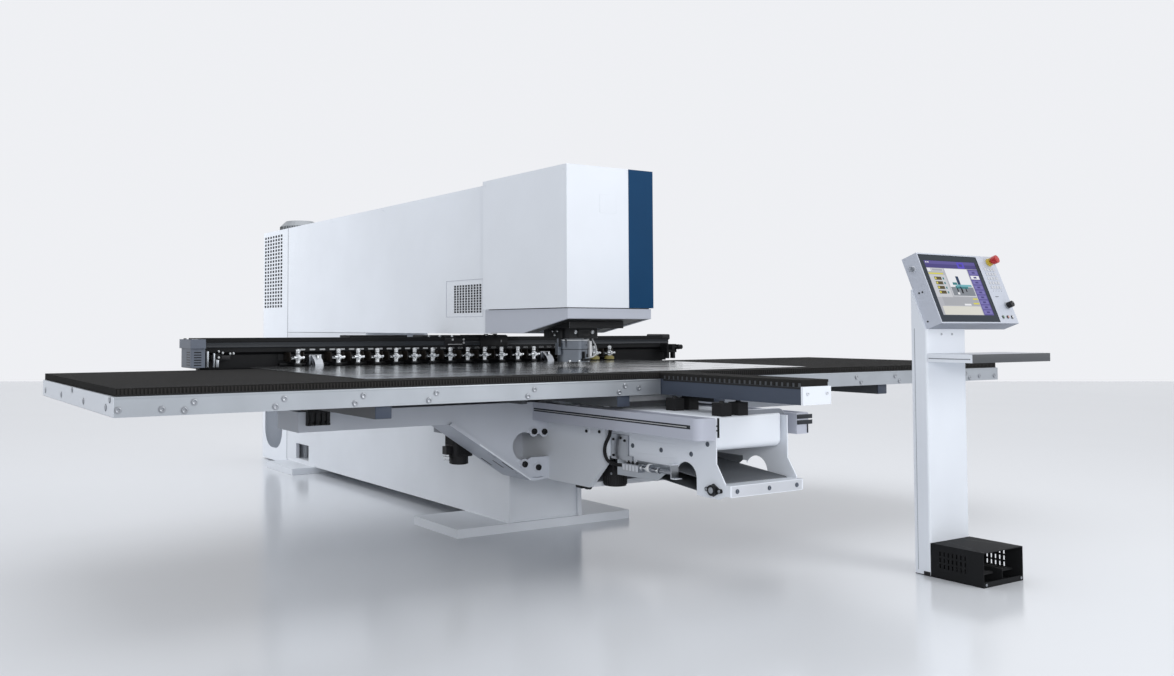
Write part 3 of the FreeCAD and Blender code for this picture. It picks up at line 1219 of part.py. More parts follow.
def override_knob():
    x, z = BEZEL_WIDTH + 100, 86
    stem = rod(5, (x, -8, z), (x, 20, z))
    cap = rod(14, (x, -28, z), (x, -FACE_GAP - 1, z))
    pointer = box((x - 1.5, x + 1.5), (-30, -27), (z, z + 13))
    return to_housing(fuse([stem, cap, pointer]))


def push_button(index):
    x = BEZEL_WIDTH + 34 * (index + 1)
    cap = rod(6.7, (x, -5, 30), (x, 14, 30))
    return to_housing(cap)


def key_switch():
    stem = rod(5, (-4, 40, 268), (20, 40, 268))
    head = rod(11, (-10, 40, 268), (-FACE_GAP, 40, 268))
    bow = box((-24, -9), (38.5, 41.5), (258, 278))
    return to_housing(fuse([stem, head, bow]))


def console_tray():
    """Shelf in front of the column, with a dark front edge rounded at its right end."""
    slab = box((CONSOLE_LEFT, TRAY_RIGHT), (TRAY_FRONT, CONSOLE_FRONT), TRAY_Z)
    slab = slab.makeFillet(14, upright_edges(slab, [(TRAY_RIGHT, TRAY_FRONT), (TRAY_RIGHT, CONSOLE_FRONT)]))
    groove = box((CONSOLE_LEFT - 1, CONSOLE_LEFT + 4), (TRAY_FRONT + 10, CONSOLE_FRONT - 6), (929, 933))
    hollow = box((CONSOLE_LEFT + 6, TRAY_RIGHT - 20), (TRAY_FRONT + 20, CONSOLE_FRONT - 12),
                 (TRAY_Z[0] - 1, TRAY_Z[1] - 6))
    return cut(slab, [groove, hollow])


def pedal_axis(index):
    """Pivot of a foot pedal."""
    width = COLUMN_WIDTH / 2
    return (CONSOLE_LEFT + width * (index + 0.5), CONSOLE_FRONT - 30, 26.0)


def pedal_guard():
    """Perforated steel guard over the two foot pedals, open to the front."""
    x = (CONSOLE_LEFT, CONSOLE_LEFT + COLUMN_WIDTH)
    y = (PEDAL_FRONT, CONSOLE_FRONT)
    shell = box(x, y, (0, PEDAL_HEIGHT))
    shell = shell.cut(box((x[0] + 3, x[1] - 3), (y[0] - 1, y[1] - 3), (4, PEDAL_HEIGHT - 3)))
    middle = (x[0] + x[1]) / 2
    divider = box((middle - 1.5, middle + 1.5), (y[0] + 6, y[1] - 2), (3, 60))
    lip = box((x[0] + 1, x[1] - 1), (y[0], y[0] + 3), (0, 22))
    pin = rod(4, (x[0] + 1, pedal_axis(0)[1], 26), (x[1] - 1, pedal_axis(0)[1], 26))
    slots = []
    for row in range(3):
        for column in range(7):
            low = y[0] + 78 + column * 19
            slots.append(box((x[0] - 1, x[0] + 4), (low, low + 7), (44 + 26 * row, 62 + 26 * row)))
            slots.append(box((x[1] - 4, x[1] + 1), (low, low + 7), (44 + 26 * row, 62 + 26 * row)))
    return fuse([cut(shell, slots), divider, lip, pin])


def pedal(index):
    """Foot pedal: a sloped tread on the guard's cross pin."""
    x, y, z = pedal_axis(index)
    half = COLUMN_WIDTH / 4 - 14
    outline = [(y + 10, z - 8), (y + 10, z + 8), (y - 10, z + 12), (y - 168, z + 22), (y - 172, z + 14), (y - 12, z - 8)]
    tread = extrude(outline, "x", x - half, x + half)
    return tread.cut(rod(4 + SHAFT_CLEARANCE, (x - 100, y, z), (x + 100, y, z)))


# ---------------------------------------------------------------- the whole part
def nodes():
    """Every node's name with the function that draws it."""
    return {
        "c_frame": c_frame,
        "arm_cover": arm_cover,
        "head_cover": head_cover,
        "stripe_panel": stripe_panel,
        "head_chin": head_chin,
        "rear_cover": rear_cover,
        "fan_guard": fan_guard,
        "fan_rotor": fan_rotor,
        "ram_cylinder": ram_cylinder,
        "ram": ram,
        "punch_housing": punch_housing,
        "upper_tool_holder": upper_tool_holder,
        "stripper": stripper,
        "die_holder": die_holder,
        "lower_tool_holder": lower_tool_holder,
        "hoses": hoses,
        "left_table_frame": lambda: wing_frame(WING_LEFT_END, -TABLE_HALF_LENGTH),
        "right_table_frame": lambda: wing_frame(WING_RIGHT_END, TABLE_HALF_LENGTH),
        "brush_decks": brush_decks,
        "guide_beam": guide_beam,
        "y_rails": y_rails,
        "drive_pinion": pinion,
        "x_beam": x_beam,
        "x_end_brackets": x_end_brackets,
        "magazine_tools": magazine_tools,
        "clamp_bases": clamp_bases,
        "left_clamp_jaw": lambda: clamp_jaw(0),
        "right_clamp_jaw": lambda: clamp_jaw(1),
        "sheet": sheet,
        "centre_beam": centre_beam,
        "centre_brush": centre_brush,
        "extension_end_plate": extension_end_plate,
        "part_flap": part_flap,
        "rubber_buffers": buffers,
        "left_outrigger": left_outrigger,
        "right_outrigger": right_outrigger,
        "guide_carriages": guide_carriages,
        "guide_channels": guide_channels,
        "motors": motors,
        "conveyor_frame": conveyor_frame,
        "conveyor_hood": conveyor_hood,
        "conveyor_belt": conveyor_belt,
        "front_roller": lambda: roller(ROLLERS[0], CONVEYOR_HALF_WIDTH + 14),
        "rear_roller": lambda: roller(ROLLERS[1], CONVEYOR_HALF_WIDTH),
        "flange_bearings": flange_bearings,
        "part_slide": part_slide,
        "pneumatic_unit": pneumatic_unit,
        "console_column": console_column,
        "console_housing": console_housing,
        "console_screen": console_screen,
        "console_tray": console_tray,
        "e_stop_button": e_stop_button,
        "override_knob": override_knob,
        "key_switch": key_switch,
        "start_button": lambda: push_button(0),
        "stop_button": lambda: push_button(1),
        "hold_button": lambda: push_button(2),
        "pedal_guard": pedal_guard,
        "left_pedal": lambda: pedal(0),
        "right_pedal": lambda: pedal(1),
    }


def main():
    os.makedirs("parts", exist_ok=True)
    for name, draw in nodes().items():
        shape = draw()
        shape.translate(V(0, -FRONT_FOOT_Y, 0))
        shape.exportStep(f"parts/{name}.step")


if __name__ == "__main__":
    main()
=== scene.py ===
"""Looks of a CNC punch press with a brush table and a separate operator console."""

import logging
import math
from contextlib import contextmanager
from dataclasses import dataclass
from enum import Enum
from typing import Callable, Iterable, Iterator, Sequence

import bpy
from mathutils import Matrix, Vector


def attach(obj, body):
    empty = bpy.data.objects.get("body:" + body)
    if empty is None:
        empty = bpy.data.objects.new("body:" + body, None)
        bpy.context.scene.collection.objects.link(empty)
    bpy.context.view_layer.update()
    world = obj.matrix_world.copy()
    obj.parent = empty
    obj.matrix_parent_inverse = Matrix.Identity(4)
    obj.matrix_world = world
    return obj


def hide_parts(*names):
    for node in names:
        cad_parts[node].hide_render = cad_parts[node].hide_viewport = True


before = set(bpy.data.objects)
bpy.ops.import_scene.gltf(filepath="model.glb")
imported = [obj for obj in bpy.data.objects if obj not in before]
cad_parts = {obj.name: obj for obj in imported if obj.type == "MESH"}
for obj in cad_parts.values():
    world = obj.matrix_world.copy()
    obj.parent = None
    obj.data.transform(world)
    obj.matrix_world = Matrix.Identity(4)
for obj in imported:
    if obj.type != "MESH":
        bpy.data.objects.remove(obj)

log = logging.getLogger("punch_press")
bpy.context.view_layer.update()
IMAGE_WIDTH = 1174.0
IMAGE_HEIGHT = 676.0
SENSOR_WIDTH = 36.0
PUNCH_Y = -0.451
FACES_ALONG = 0.95  # cosine above which a face counts as looking in a direction
SHARP_ANGLE = 0.6  # edges sharper than this, in radians, are broken and shaded sharp
SOCKET_RIM = 0.46  # rim of a screw head, as a share of its radius
SOCKET_DEPTH = 0.6  # share of the head's height
HEAD_EDGE = 0.13  # broken edge, as a share of the head's radius
WASHER_THICKNESS = 0.0012
END_SLACK = 0.0002  # how far below its end a face of a turned piece still counts as the end
COLLAR_LAP = 0.0001  # first step of a turned piece that grows wider
Point = tuple[float, float, float]
Pair = tuple[float, float]
Span = tuple[Point, Point]
Test = Callable[[Vector, Vector], bool]
Piece = bpy.types.Object
Socket = bpy.types.NodeSocket


# ---------------------------------------------------------------- shop: modelling by hand
class Axis(Enum):
    """Row axes along which round stock is laid, with the turn that lays it so."""

    X = (0.0, math.pi / 2, 0.0)
    Y = (math.pi / 2, 0.0, 0.0)
    Z = (0.0, 0.0, 0.0)


class Facing(Enum):
    """Direction in which the outer face of a fastener looks."""

    FRONT = (0.0, -1.0, 0.0)
    LEFT = (-1.0, 0.0, 0.0)
    RIGHT = (1.0, 0.0, 0.0)
    UP = (0.0, 0.0, 1.0)
    DOWN = (0.0, 0.0, -1.0)

    @property
    def vector(self) -> Vector:
        """Unit vector of the direction."""
        return Vector(self.value)

    @property
    def axis(self) -> Axis:
        """Axis along which stock of this direction is laid."""
        return list(Axis)[max(range(3), key=lambda i: abs(self.value[i]))]


SIDES: dict[int, Facing] = {-1: Facing.LEFT, 1: Facing.RIGHT}


def at_punch(point: Point) -> Point:
    """A place given about the punch axis, in the row frame."""
    return (point[0], point[1] + PUNCH_Y, point[2])


def on_side(side: int, x: Pair, y: Pair, z: Pair) -> Span:
    """Corners of a span laid to the left (-1) or right (1) of the middle plane."""
    low, high = sorted((side * x[0], side * x[1]))
    return (low, y[0], z[0]), (high, y[1], z[1])


def mirrored(places: Iterable[Point]) -> list[Point]:
    """The same places on the other side of the middle plane."""
    return [(-x, y, z) for x, y, z in places]


def spread(low: float, high: float, count: int) -> list[float]:
    """Evenly spaced values from low to high."""
    return [low + (high - low) * i / (count - 1) for i in range(count)]


def clear_selection() -> None:
    """Leaves nothing selected and no edit mode open."""
    if bpy.context.mode != "OBJECT":
        bpy.ops.object.mode_set(mode="OBJECT")
    bpy.ops.object.select_all(action="DESELECT")


def only(piece: Piece) -> None:
    """Makes a piece the one that is selected and active."""
    clear_selection()
    piece.select_set(True)
    bpy.context.view_layer.objects.active = piece


def settle(piece: Piece) -> Piece:
    """Puts a piece's place, turn and size into its mesh."""
    only(piece)
    bpy.ops.object.transform_apply(location=True, rotation=True, scale=True)
    return piece


def block(name: str, low: Point, high: Point) -> Piece:
    """Rectangular stock between two corners given about the punch axis."""
    clear_selection()
    a, b = Vector(at_punch(low)), Vector(at_punch(high))
    bpy.ops.mesh.primitive_cube_add(size=1.0, location=(a + b) / 2)
    piece = bpy.context.active_object
    piece.name = name
    piece.scale = b - a
    return settle(piece)


def bar(name: str, radius: float, centre: Point, length: float, axis: Axis, sides: int = 24) -> Piece:
    """Round stock about a centre given about the punch axis."""
    clear_selection()
    bpy.ops.mesh.primitive_cylinder_add(vertices=sides, radius=radius, depth=length, location=at_punch(centre),
                                        rotation=axis.value)
    piece = bpy.context.active_object
    piece.name = name
    return settle(piece)


def apply_modifier(piece: Piece, kind: str, **values: object) -> None:
    """Adds one modifier with its values and applies it."""
    only(piece)
    modifier = piece.modifiers.new(kind.lower(), kind)
    for key, value in values.items():
        setattr(modifier, key, value)
    bpy.ops.object.modifier_apply(modifier=modifier.name)


def smooth(piece: Piece, angle: float = SHARP_ANGLE) -> Piece:
    """Shades a piece smooth up to an angle between faces."""
    only(piece)
    bpy.ops.object.shade_smooth_by_angle(angle=angle)
    return piece


def bevel(piece: Piece, width: float, segments: int = 2) -> Piece:
    """Breaks a piece's sharp edges."""
    apply_modifier(piece, "BEVEL", width=width, segments=segments, limit_method="ANGLE", angle_limit=SHARP_ANGLE)
    return smooth(piece)


@contextmanager
def picked(piece: Piece, kind: str, test: Callable[[object], bool]) -> Iterator[None]:
    """Edit mode with those faces or edges selected that pass a test."""
    only(piece)
    bpy.ops.object.mode_set(mode="EDIT")
    bpy.ops.mesh.select_mode(type=kind)
    bpy.ops.mesh.select_all(action="DESELECT")
    bpy.ops.object.mode_set(mode="OBJECT")
    for part in piece.data.polygons if kind == "FACE" else piece.data.edges:
        part.select = test(part)
    bpy.ops.object.mode_set(mode="EDIT")
    yield
    bpy.ops.object.mode_set(mode="OBJECT")


def faces_picked(piece: Piece, test: Test) -> Iterator[None]:
    """Edit mode with the faces selected whose centre and normal pass a test."""
    return picked(piece, "FACE", lambda face: test(face.center, face.normal))


def toward(facing: Facing) -> Test:
    """Test for the faces that look in one direction."""
    return lambda _centre, normal: normal.dot(facing.vector) > FACES_ALONG


def inset_and_push(piece: Piece, test: Test, margin: float, depth: float) -> Piece:
    """Insets the picked faces and pushes them in (depth < 0) or out (depth > 0)."""
    with faces_picked(piece, test):
        bpy.ops.mesh.inset(thickness=margin, depth=0.0)
        bpy.ops.mesh.inset(thickness=0.0, depth=depth)
    return piece


def bridge_through(piece: Piece, facing: Facing, margin: float) -> Piece:
    """Opens a piece right through, leaving a rim of one width."""
    with faces_picked(piece, lambda _centre, normal: abs(normal.dot(facing.vector)) > FACES_ALONG):
        bpy.ops.mesh.inset(thickness=margin, depth=0.0, use_individual=True)
        bpy.ops.mesh.bridge_edge_loops()
    return piece


def round_edges(piece: Piece, test: Test, radius: float, segments: int) -> None:
    """Rounds the edges whose two ends pass a test."""
    with picked(piece, "EDGE", lambda edge: test(*(piece.data.vertices[i].co for i in edge.vertices))):
        bpy.ops.mesh.bevel(offset=radius, segments=segments, affect="EDGES")


def join(name: str, pieces: Sequence[Piece]) -> Piece:
    """Joins pieces of one finish into one object."""
    clear_selection()
    for piece in pieces:
        piece.select_set(True)
    bpy.context.view_layer.objects.active = pieces[0]
    if len(pieces) > 1:
        bpy.ops.object.join()
    joined = bpy.context.active_object
    joined.name = name
    return joined


def copies(first: Piece, shifts: Iterable[Point]) -> list[Piece]:
    """The first piece and a copy of it, with its own mesh, at each further shift."""
    made = [first]
    for shift in shifts:
        only(first)
        bpy.ops.object.duplicate(linked=False)
        twin = bpy.context.active_object
        twin.data.transform(Matrix.Translation(shift))
        made.append(twin)
    return made


def turn_about(piece: Piece, centre: Point, angle: float, axis: Axis) -> Piece:
    """Turns a piece's mesh about a line through a centre."""
    turn = Matrix.Rotation(angle, 4, axis.name)
    piece.data.transform(Matrix.Translation(centre) @ turn @ Matrix.Translation(-Vector(centre)))
    return piece


def turned_copies(first: Piece, centre: Point, count: int) -> list[Piece]:
    """The first piece and its copies, evenly turned about an upright line."""
    made = copies(first, [(0.0, 0.0, 0.0)] * (count - 1))
    return made[:1] + [turn_about(made[i], centre, 2 * math.pi * i / count, Axis.Z) for i in range(1, count)]


def seat(piece: Piece, finish: "Finish", body: str = "frame") -> Piece:
    """Dresses a finished piece, lets it ride on a CAD body and reports it."""
    dress(piece, finish)
    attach(piece, body)
    log.info("piece %s: %d faces, %s, on %s", piece.name, len(piece.data.polygons), finish.name, body)
    return piece


def rounded_block(name: str, low: Point, high: Point, edge: float = 0.001, segments: int = 2) -> Piece:
    """Rectangular stock with broken edges."""
    return bevel(block(name, low, high), edge, segments)


def blocks(name: str, finish: "Finish", spans: Iterable[Span], edge: float = 0.001, segments: int = 2,
           body: str = "frame") -> Piece:
    """Rounded blocks seated as one piece."""
    return seat(join(name, [rounded_block(name, *span, edge, segments) for span in spans]), finish, body)


def panel(name: str, finish: "Finish", low: Point, high: Point, facing: Facing, margin: float, depth: float,
          edge: float, segments: int = 2, body: str = "frame") -> Piece:
    """Block with a step all round in one face, seated."""
    stepped = inset_and_push(block(name, low, high), toward(facing), margin, depth)
    return seat(bevel(stepped, edge, segments), finish, body)


def turned_stack(name: str, steps: Sequence[Pair], start: Point, facing: Facing, sides: int = 32,
                 edge: float = 0.0006) -> Piece:
    """Turned piece built outwards by inset and extrusion.

    Args:
        name: name of the piece.
        steps: pairs of radius and length, from the seat outwards.
        start: centre of the seat, about the punch axis.
        facing: direction in which the piece grows.
        sides: number of flats round it.
        edge: width of the broken edges.

    Returns:
        The turned piece.
    """
    (radius, length), out = steps[0], facing.vector
    piece = bar(name, radius, tuple(Vector(start) + out * length / 2), length, facing.axis, sides)
    end = Vector(at_punch(start)).dot(out) + length
    for next_radius, next_length in steps[1:]:
        limit = end - END_SLACK
        with faces_picked(piece, lambda centre, normal: normal.dot(out) > FACES_ALONG and centre.dot(out) > limit):
            if next_radius < radius:
                bpy.ops.mesh.inset(thickness=radius - next_radius, depth=0.0)
            else:
                bpy.ops.mesh.inset(thickness=0.0, depth=COLLAR_LAP)
                bpy.ops.transform.resize(value=(next_radius / radius,) * 3)
            bpy.ops.mesh.inset(thickness=0.0, depth=next_length)
        end += next_length
        radius = next_radius
    return bevel(piece, edge, 1)


def stacks(name: str, finish: "Finish", steps: Sequence[Pair], places: Iterable[Point], facing: Facing,
           sides: int = 32, edge: float = 0.0006, body: str = "frame") -> Piece:
    """Equal turned pieces seated as one piece."""
    turned = [turned_stack(name, steps, place, facing, sides, edge) for place in places]
    return seat(join(name, turned), finish, body)


@dataclass
class Heads:
    """Socket-head screws of one size on one face."""

    name: str
    places: Sequence[Point]
    facing: Facing
    finish: "Finish"
    body: str = "frame"
    radius: float = 0.007
    height: float = 0.003
    washer: float = 0.0

    def build(self) -> Piece:
        """Models one head with its hexagon socket and copies it to every place."""
        start, out, axis = Vector(self.places[0]), self.facing.vector, self.facing.axis
        head = bar(self.name, self.radius, tuple(start + out * self.height / 2), self.height, axis, 20)
        inset_and_push(head, toward(self.facing), self.radius * SOCKET_RIM, -self.height * SOCKET_DEPTH)
        parts = [bevel(head, self.radius * HEAD_EDGE)]
        if self.washer:
            centre = tuple(start + out * WASHER_THICKNESS / 2)
            parts.append(bevel(bar("washer", self.washer, centre, WASHER_THICKNESS, axis), 0.0003, 1))
        row = copies(join(self.name, parts), [tuple(Vector(place) - start) for place in self.places[1:]])
        return seat(join(self.name, row), self.finish, self.body)


# ---------------------------------------------------------------- finishes
def fill(tree: bpy.types.NodeTree, node: bpy.types.Node, inputs: dict[object, object]) -> bpy.types.Node:
    """Links a node's inputs to sockets, or sets them to values."""
    for key, value in inputs.items():
        if isinstance(value, Socket):
            tree.links.new(value, node.inputs[key])
        else:
            node.inputs[key].default_value = value
    return node


def add(tree: bpy.types.NodeTree, kind: str, inputs: dict[object, object], **settings: object) -> bpy.types.Node:
    """Adds a shader node with its settings and inputs."""
    node = tree.nodes.new(f"ShaderNode{kind}")
    for key, value in settings.items():
        setattr(node, key, value)
    return fill(tree, node, inputs)


def calc(tree: bpy.types.NodeTree, operation: str, *values: "Socket | float", clamp: bool = False) -> Socket:
    """Math node on sockets or numbers; returns its output."""
    return add(tree, "Math", dict(enumerate(values)), operation=operation, use_clamp=clamp).outputs[0]


def noise(tree: bpy.types.NodeTree, vector: Socket, scale: "Socket | float", detail: float) -> Socket:
    """Noise texture read at a vector."""
    return add(tree, "TexNoise", {"Vector": vector, "Scale": scale, "Detail": detail}).outputs["Fac"]


def start_group(name: str, inputs: dict[str, float], outputs: Sequence[str]) -> tuple[bpy.types.NodeTree, Socket]:
    """Starts a shader node group with float sockets; returns it with the object coordinates."""
    tree = bpy.data.node_groups.new(name, "ShaderNodeTree")
    for label, value in inputs.items():
        tree.interface.new_socket(name=label, in_out="INPUT", socket_type="NodeSocketFloat").default_value = value
    for label in outputs:
        tree.interface.new_socket(name=label, in_out="OUTPUT", socket_type="NodeSocketFloat")
    tree.nodes.new("NodeGroupInput")
    tree.nodes.new("NodeGroupOutput")
    return tree, add(tree, "TexCoord", {}).outputs["Object"]


def powder_group() -> bpy.types.NodeTree:
    """Orange-peel grain, slow shade variation and dust on upward faces."""
    tree, place = start_group("powder", {"Grain": 900.0, "Dust": 0.2}, ("Height", "Shade", "Dusty"))
    given = tree.nodes["Group Input"].outputs
    normal = add(tree, "NewGeometry", {}).outputs["Normal"]
    up = add(tree, "SeparateXYZ", {"Vector": normal}).outputs["Z"]
    upward = calc(tree, "MULTIPLY", up, noise(tree, place, 14.0, 6.0), clamp=True)
    fill(tree, tree.nodes["Group Output"], {"Height": noise(tree, place, given["Grain"], 2.0),
                                            "Shade": noise(tree, place, 2.3, 3.0),
                                            "Dusty": calc(tree, "MULTIPLY", upward, given["Dust"])})
    return tree


def brushed_group() -> bpy.types.NodeTree:
    """Fine lines of a ground or brushed surface along X, with slow blotches."""
    tree, place = start_group("brushed", {"Lines": 700.0}, ("Height", "Shade"))
    stretch = add(tree, "Mapping", {"Vector": place, "Scale": (0.02, 1.0, 1.0)}).outputs["Vector"]
    lines = noise(tree, stretch, tree.nodes["Group Input"].outputs["Lines"], 2.0)
    fill(tree, tree.nodes["Group Output"], {"Height": lines, "Shade": noise(tree, place, 5.0, 4.0)})
    return tree


def tuft_group() -> bpy.types.NodeTree:
    """Bristle tufts in rows, with the joints between the brush strips."""
    tree, place = start_group("tufts", {"Tufts": 483.0}, ("Height", "Shade"))
    across = add(tree, "SeparateXYZ", {"Vector": place}).outputs
    rows = tree.nodes["Group Input"].outputs["Tufts"]
    tuft = calc(tree, "MULTIPLY", *(calc(tree, "ABSOLUTE", calc(tree, "SINE", calc(tree, "MULTIPLY", across[i], rows)))
                                    for i in ("X", "Y")))
    frizzy = calc(tree, "ADD", tuft, noise(tree, place, 260.0, 5.0))
    joint = calc(tree, "ABSOLUTE", calc(tree, "SINE", calc(tree, "MULTIPLY", across["X"], 12.6)))
    seam = add(tree, "MapRange", {"Value": joint, "From Max": 0.03}).outputs["Result"]
    # Colour shade: random tone, plus painted shade that darkens the gaps between the tufts and lightens their tops.
    tone_and_gap_shade = calc(tree, "MULTIPLY", calc(tree, "ADD", noise(tree, place, 2.6, 4.0), tuft), 0.62)
    fill(tree, tree.nodes["Group Output"], {"Height": calc(tree, "MULTIPLY", frizzy, seam),
                                            "Shade": calc(tree, "MULTIPLY", tone_and_gap_shade, seam)})
    return tree


GROUPS: dict[str, bpy.types.NodeTree] = {"powder": powder_group(), "brushed": brushed_group(), "tufts": tuft_group()}
FINISHES: dict[str, bpy.types.Material] = {}


@dataclass(frozen=True)
class Finish:
    """One surface finish, made as a node material."""

    name: str
    colour: Point
    roughness: float
    metallic: float = 0.0
    effect: str = "powder"
    scale: float = 900.0
    bump: float = 0.02
    variation: float = 0.05
    dust: float = 0.15
    coat: float = 0.0
    specular: float = 0.5

    def make(self) -> bpy.types.Material:
        """Builds the material once and keeps it under its name."""
        if self.name in FINISHES:
            return FINISHES[self.name]
        material = bpy.data.materials.new(self.name)
        material.use_nodes = True
        tree = material.node_tree
        effect = add(tree, "Group", {0: self.scale}, node_tree=GROUPS[self.effect])
        shade = add(tree, "MapRange", {"Value": effect.outputs["Shade"], "From Min": 0.3, "From Max": 0.7,
                                       "To Min": 1.0 - self.variation, "To Max": 1.0 + self.variation})
        colour = add(tree, "VectorMath", {0: self.colour, "Scale": shade.outputs["Result"]},
                     operation="SCALE").outputs["Vector"]
        if self.effect == "powder":
            effect.inputs["Dust"].default_value = self.dust
            colour = add(tree, "Mix", {"Factor": effect.outputs["Dusty"], "A": colour, "B": (0.42, 0.42, 0.41, 1.0)},
                         data_type="RGBA").outputs["Result"]
        rough = add(tree, "MapRange", {"Value": effect.outputs["Shade"], "To Min": max(0.02, self.roughness - 0.06),
                                       "To Max": self.roughness + 0.06})
        relief = add(tree, "Bump", {"Height": effect.outputs["Height"], "Strength": self.bump, "Distance": 0.001})
        fill(tree, tree.nodes["Principled BSDF"], {
            "Metallic": self.metallic, "Coat Weight": self.coat, "Specular IOR Level": self.specular,
            "Roughness": rough.outputs["Result"], "Normal": relief.outputs["Normal"], **self.paint(colour)})
        FINISHES[self.name] = material
        return material

    def paint(self, colour: Socket) -> dict[str, object]:
        """Leads the colour to the surface."""
        return {"Base Color": colour}


@dataclass(frozen=True)
class Glow(Finish):
    """Finish of a lit field on the display."""

    strength: float = 0.9

    def paint(self, colour: Socket) -> dict[str, object]:
        """Leads the colour to the emission and keeps the surface dark."""
        return {"Base Color": (0.01, 0.01, 0.012, 1.0), "Emission Strength": self.strength, "Emission Color": colour}


def lit(name: str, colour: Point) -> Glow:
    """A display colour."""
    return Glow(f"ui_{name}", colour, 0.35, bump=0.0, variation=0.02, dust=0.0, specular=0.05)


CASING_WHITE = Finish("casing_white", (0.74, 0.775, 0.83), 0.38, bump=0.05, variation=0.03, dust=0.05, coat=0.1)
FRAME_GREY = Finish("frame_grey", (0.68, 0.71, 0.755), 0.45, bump=0.08, variation=0.04, dust=0.05)
DEEP_BLUE = Finish("deep_blue", (0.008, 0.048, 0.120), 0.40, bump=0.04, variation=0.06, dust=0.0, specular=0.06)
BLACK_SATIN = Finish("black_satin", (0.012, 0.0125, 0.0135), 0.36, bump=0.06, variation=0.15, dust=0.02, specular=0.25)
RAIL_BLACK = Finish("rail_black", (0.011, 0.0115, 0.0125), 0.40, bump=0.04, variation=0.12, dust=0.0, specular=0.12)
BRUSH_BLACK = Finish("brush_black", (0.020, 0.0195, 0.019), 0.80, 0.0, "tufts", 483.0, 0.9, 0.35, specular=0.05)
RUBBER = Finish("rubber", (0.015, 0.015, 0.016), 0.7, scale=300.0, bump=0.25, variation=0.15, dust=0.05, specular=0.2)
BELT = Finish("belt", (0.125, 0.135, 0.15), 0.6, scale=500.0, bump=0.4, variation=0.08, dust=0.05)
SATIN_ALUMINIUM = Finish("satin_aluminium", (0.45, 0.48, 0.515), 0.36, 0.75, "brushed", 900.0, 0.05, 0.05)
GROUND_STEEL = Finish("ground_steel", (0.40, 0.42, 0.45), 0.32, 1.0, "brushed", 600.0, 0.08, 0.10)
MIRROR_STEEL = Finish("mirror_steel", (0.62, 0.64, 0.65), 0.14, 1.0, "brushed", 300.0, 0.02, 0.06)
SHEET_STEEL = Finish("sheet_steel", (0.50, 0.52, 0.53), 0.17, 1.0, "brushed", 120.0, 0.01, 0.08)
DARK_CAST = Finish("dark_cast", (0.016, 0.017, 0.019), 0.5, bump=0.3, scale=350.0, variation=0.15, dust=0.02,
                   specular=0.3)
FAN_METAL = Finish("fan_metal", (0.33, 0.35, 0.37), 0.36, 0.7, "brushed", 400.0, 0.08, 0.08)
BLACK_PLASTIC = Finish("black_plastic", (0.014, 0.014, 0.0155), 0.45, bump=0.15, scale=600.0, variation=0.1,
                       dust=0.02, specular=0.25)
WHITE_PLASTIC = Finish("white_plastic", (0.78, 0.79, 0.80), 0.4, bump=0.05, variation=0.03, dust=0.03)
SLATE_GLASS = Finish("slate_glass", (0.020, 0.028, 0.038), 0.20, bump=0.0, variation=0.05, dust=0.0, specular=0.15)
SLATE_BEAM = Finish("slate_beam", (0.050, 0.062, 0.088), 0.42, bump=0.06, variation=0.06, dust=0.02, specular=0.3)
TRAY_GREY = Finish("tray_grey", (0.075, 0.080, 0.087), 0.42, bump=0.05, variation=0.05, dust=0.02, specular=0.3)
SIGNAL_RED = Finish("signal_red", (0.42, 0.013, 0.012), 0.3, bump=0.02, variation=0.04, dust=0.0, coat=0.3)
SIGNAL_YELLOW = Finish("signal_yellow", (0.55, 0.40, 0.04), 0.35, bump=0.02, variation=0.04, dust=0.0)
HOSE_SILVER = Finish("hose_silver", (0.60, 0.62, 0.64), 0.35, bump=0.3, scale=1400.0, variation=0.10, dust=0.0)
COMB_BROWN = Finish("comb_brown", (0.013, 0.012, 0.011), 0.55, scale=700.0, bump=0.4, variation=0.25, dust=0.0,
                    specular=0.3)
PALE_ALUMINIUM = Finish("pale_aluminium", (0.62, 0.64, 0.68), 0.38, 0.6, "brushed", 700.0, 0.05, 0.04)
STRIP_GREY = Finish("strip_grey", (0.026, 0.029, 0.034), 0.38, bump=0.04, variation=0.10, dust=0.0, specular=0.2)
STRIP_STEEL = Finish("strip_steel", (0.035, 0.036, 0.038), 0.35, 0.3, "brushed", 500.0, 0.06, 0.12, specular=0.3)
SLOT_GREY = Finish("slot_grey", (0.42, 0.43, 0.44), 0.40, bump=0.05, variation=0.08, dust=0.0)
BRACKET_BLUE = Finish("bracket_blue", (0.13, 0.15, 0.19), 0.42, bump=0.06, variation=0.06, dust=0.03)
PIN_SILVER = Finish("pin_silver", (0.62, 0.64, 0.66), 0.24, 0.9, "brushed", 500.0, 0.04, 0.05)
DARK_BROWN = Finish("dark_brown", (0.016, 0.013, 0.011), 0.40, bump=0.10, variation=0.20, dust=0.0, specular=0.25)
OLIVE = Finish("olive", (0.20, 0.17, 0.05), 0.40, bump=0.08, variation=0.12, dust=0.02)
SLATE_GREY = Finish("slate_grey", (0.20, 0.215, 0.245), 0.42, bump=0.06, variation=0.06, dust=0.02)
BOLT_BLUE = Finish("bolt_blue", (0.13, 0.15, 0.18), 0.30, 0.8, "brushed", 500.0, 0.05, 0.10)
CHIN_GREY = Finish("chin_grey", (0.45, 0.475, 0.54), 0.40, bump=0.05, variation=0.03, dust=0.02)
HOUSING_GREY = Finish("housing_grey", (0.49, 0.52, 0.59), 0.36, bump=0.05, variation=0.03, dust=0.02)
CHANNEL_GREY = Finish("channel_grey", (0.44, 0.46, 0.53), 0.38, bump=0.05, variation=0.04, dust=0.02)
HEAD_STEEL = Finish("head_steel", (0.20, 0.22, 0.25), 0.30, 1.0, "brushed", 600.0, 0.05, 0.08)
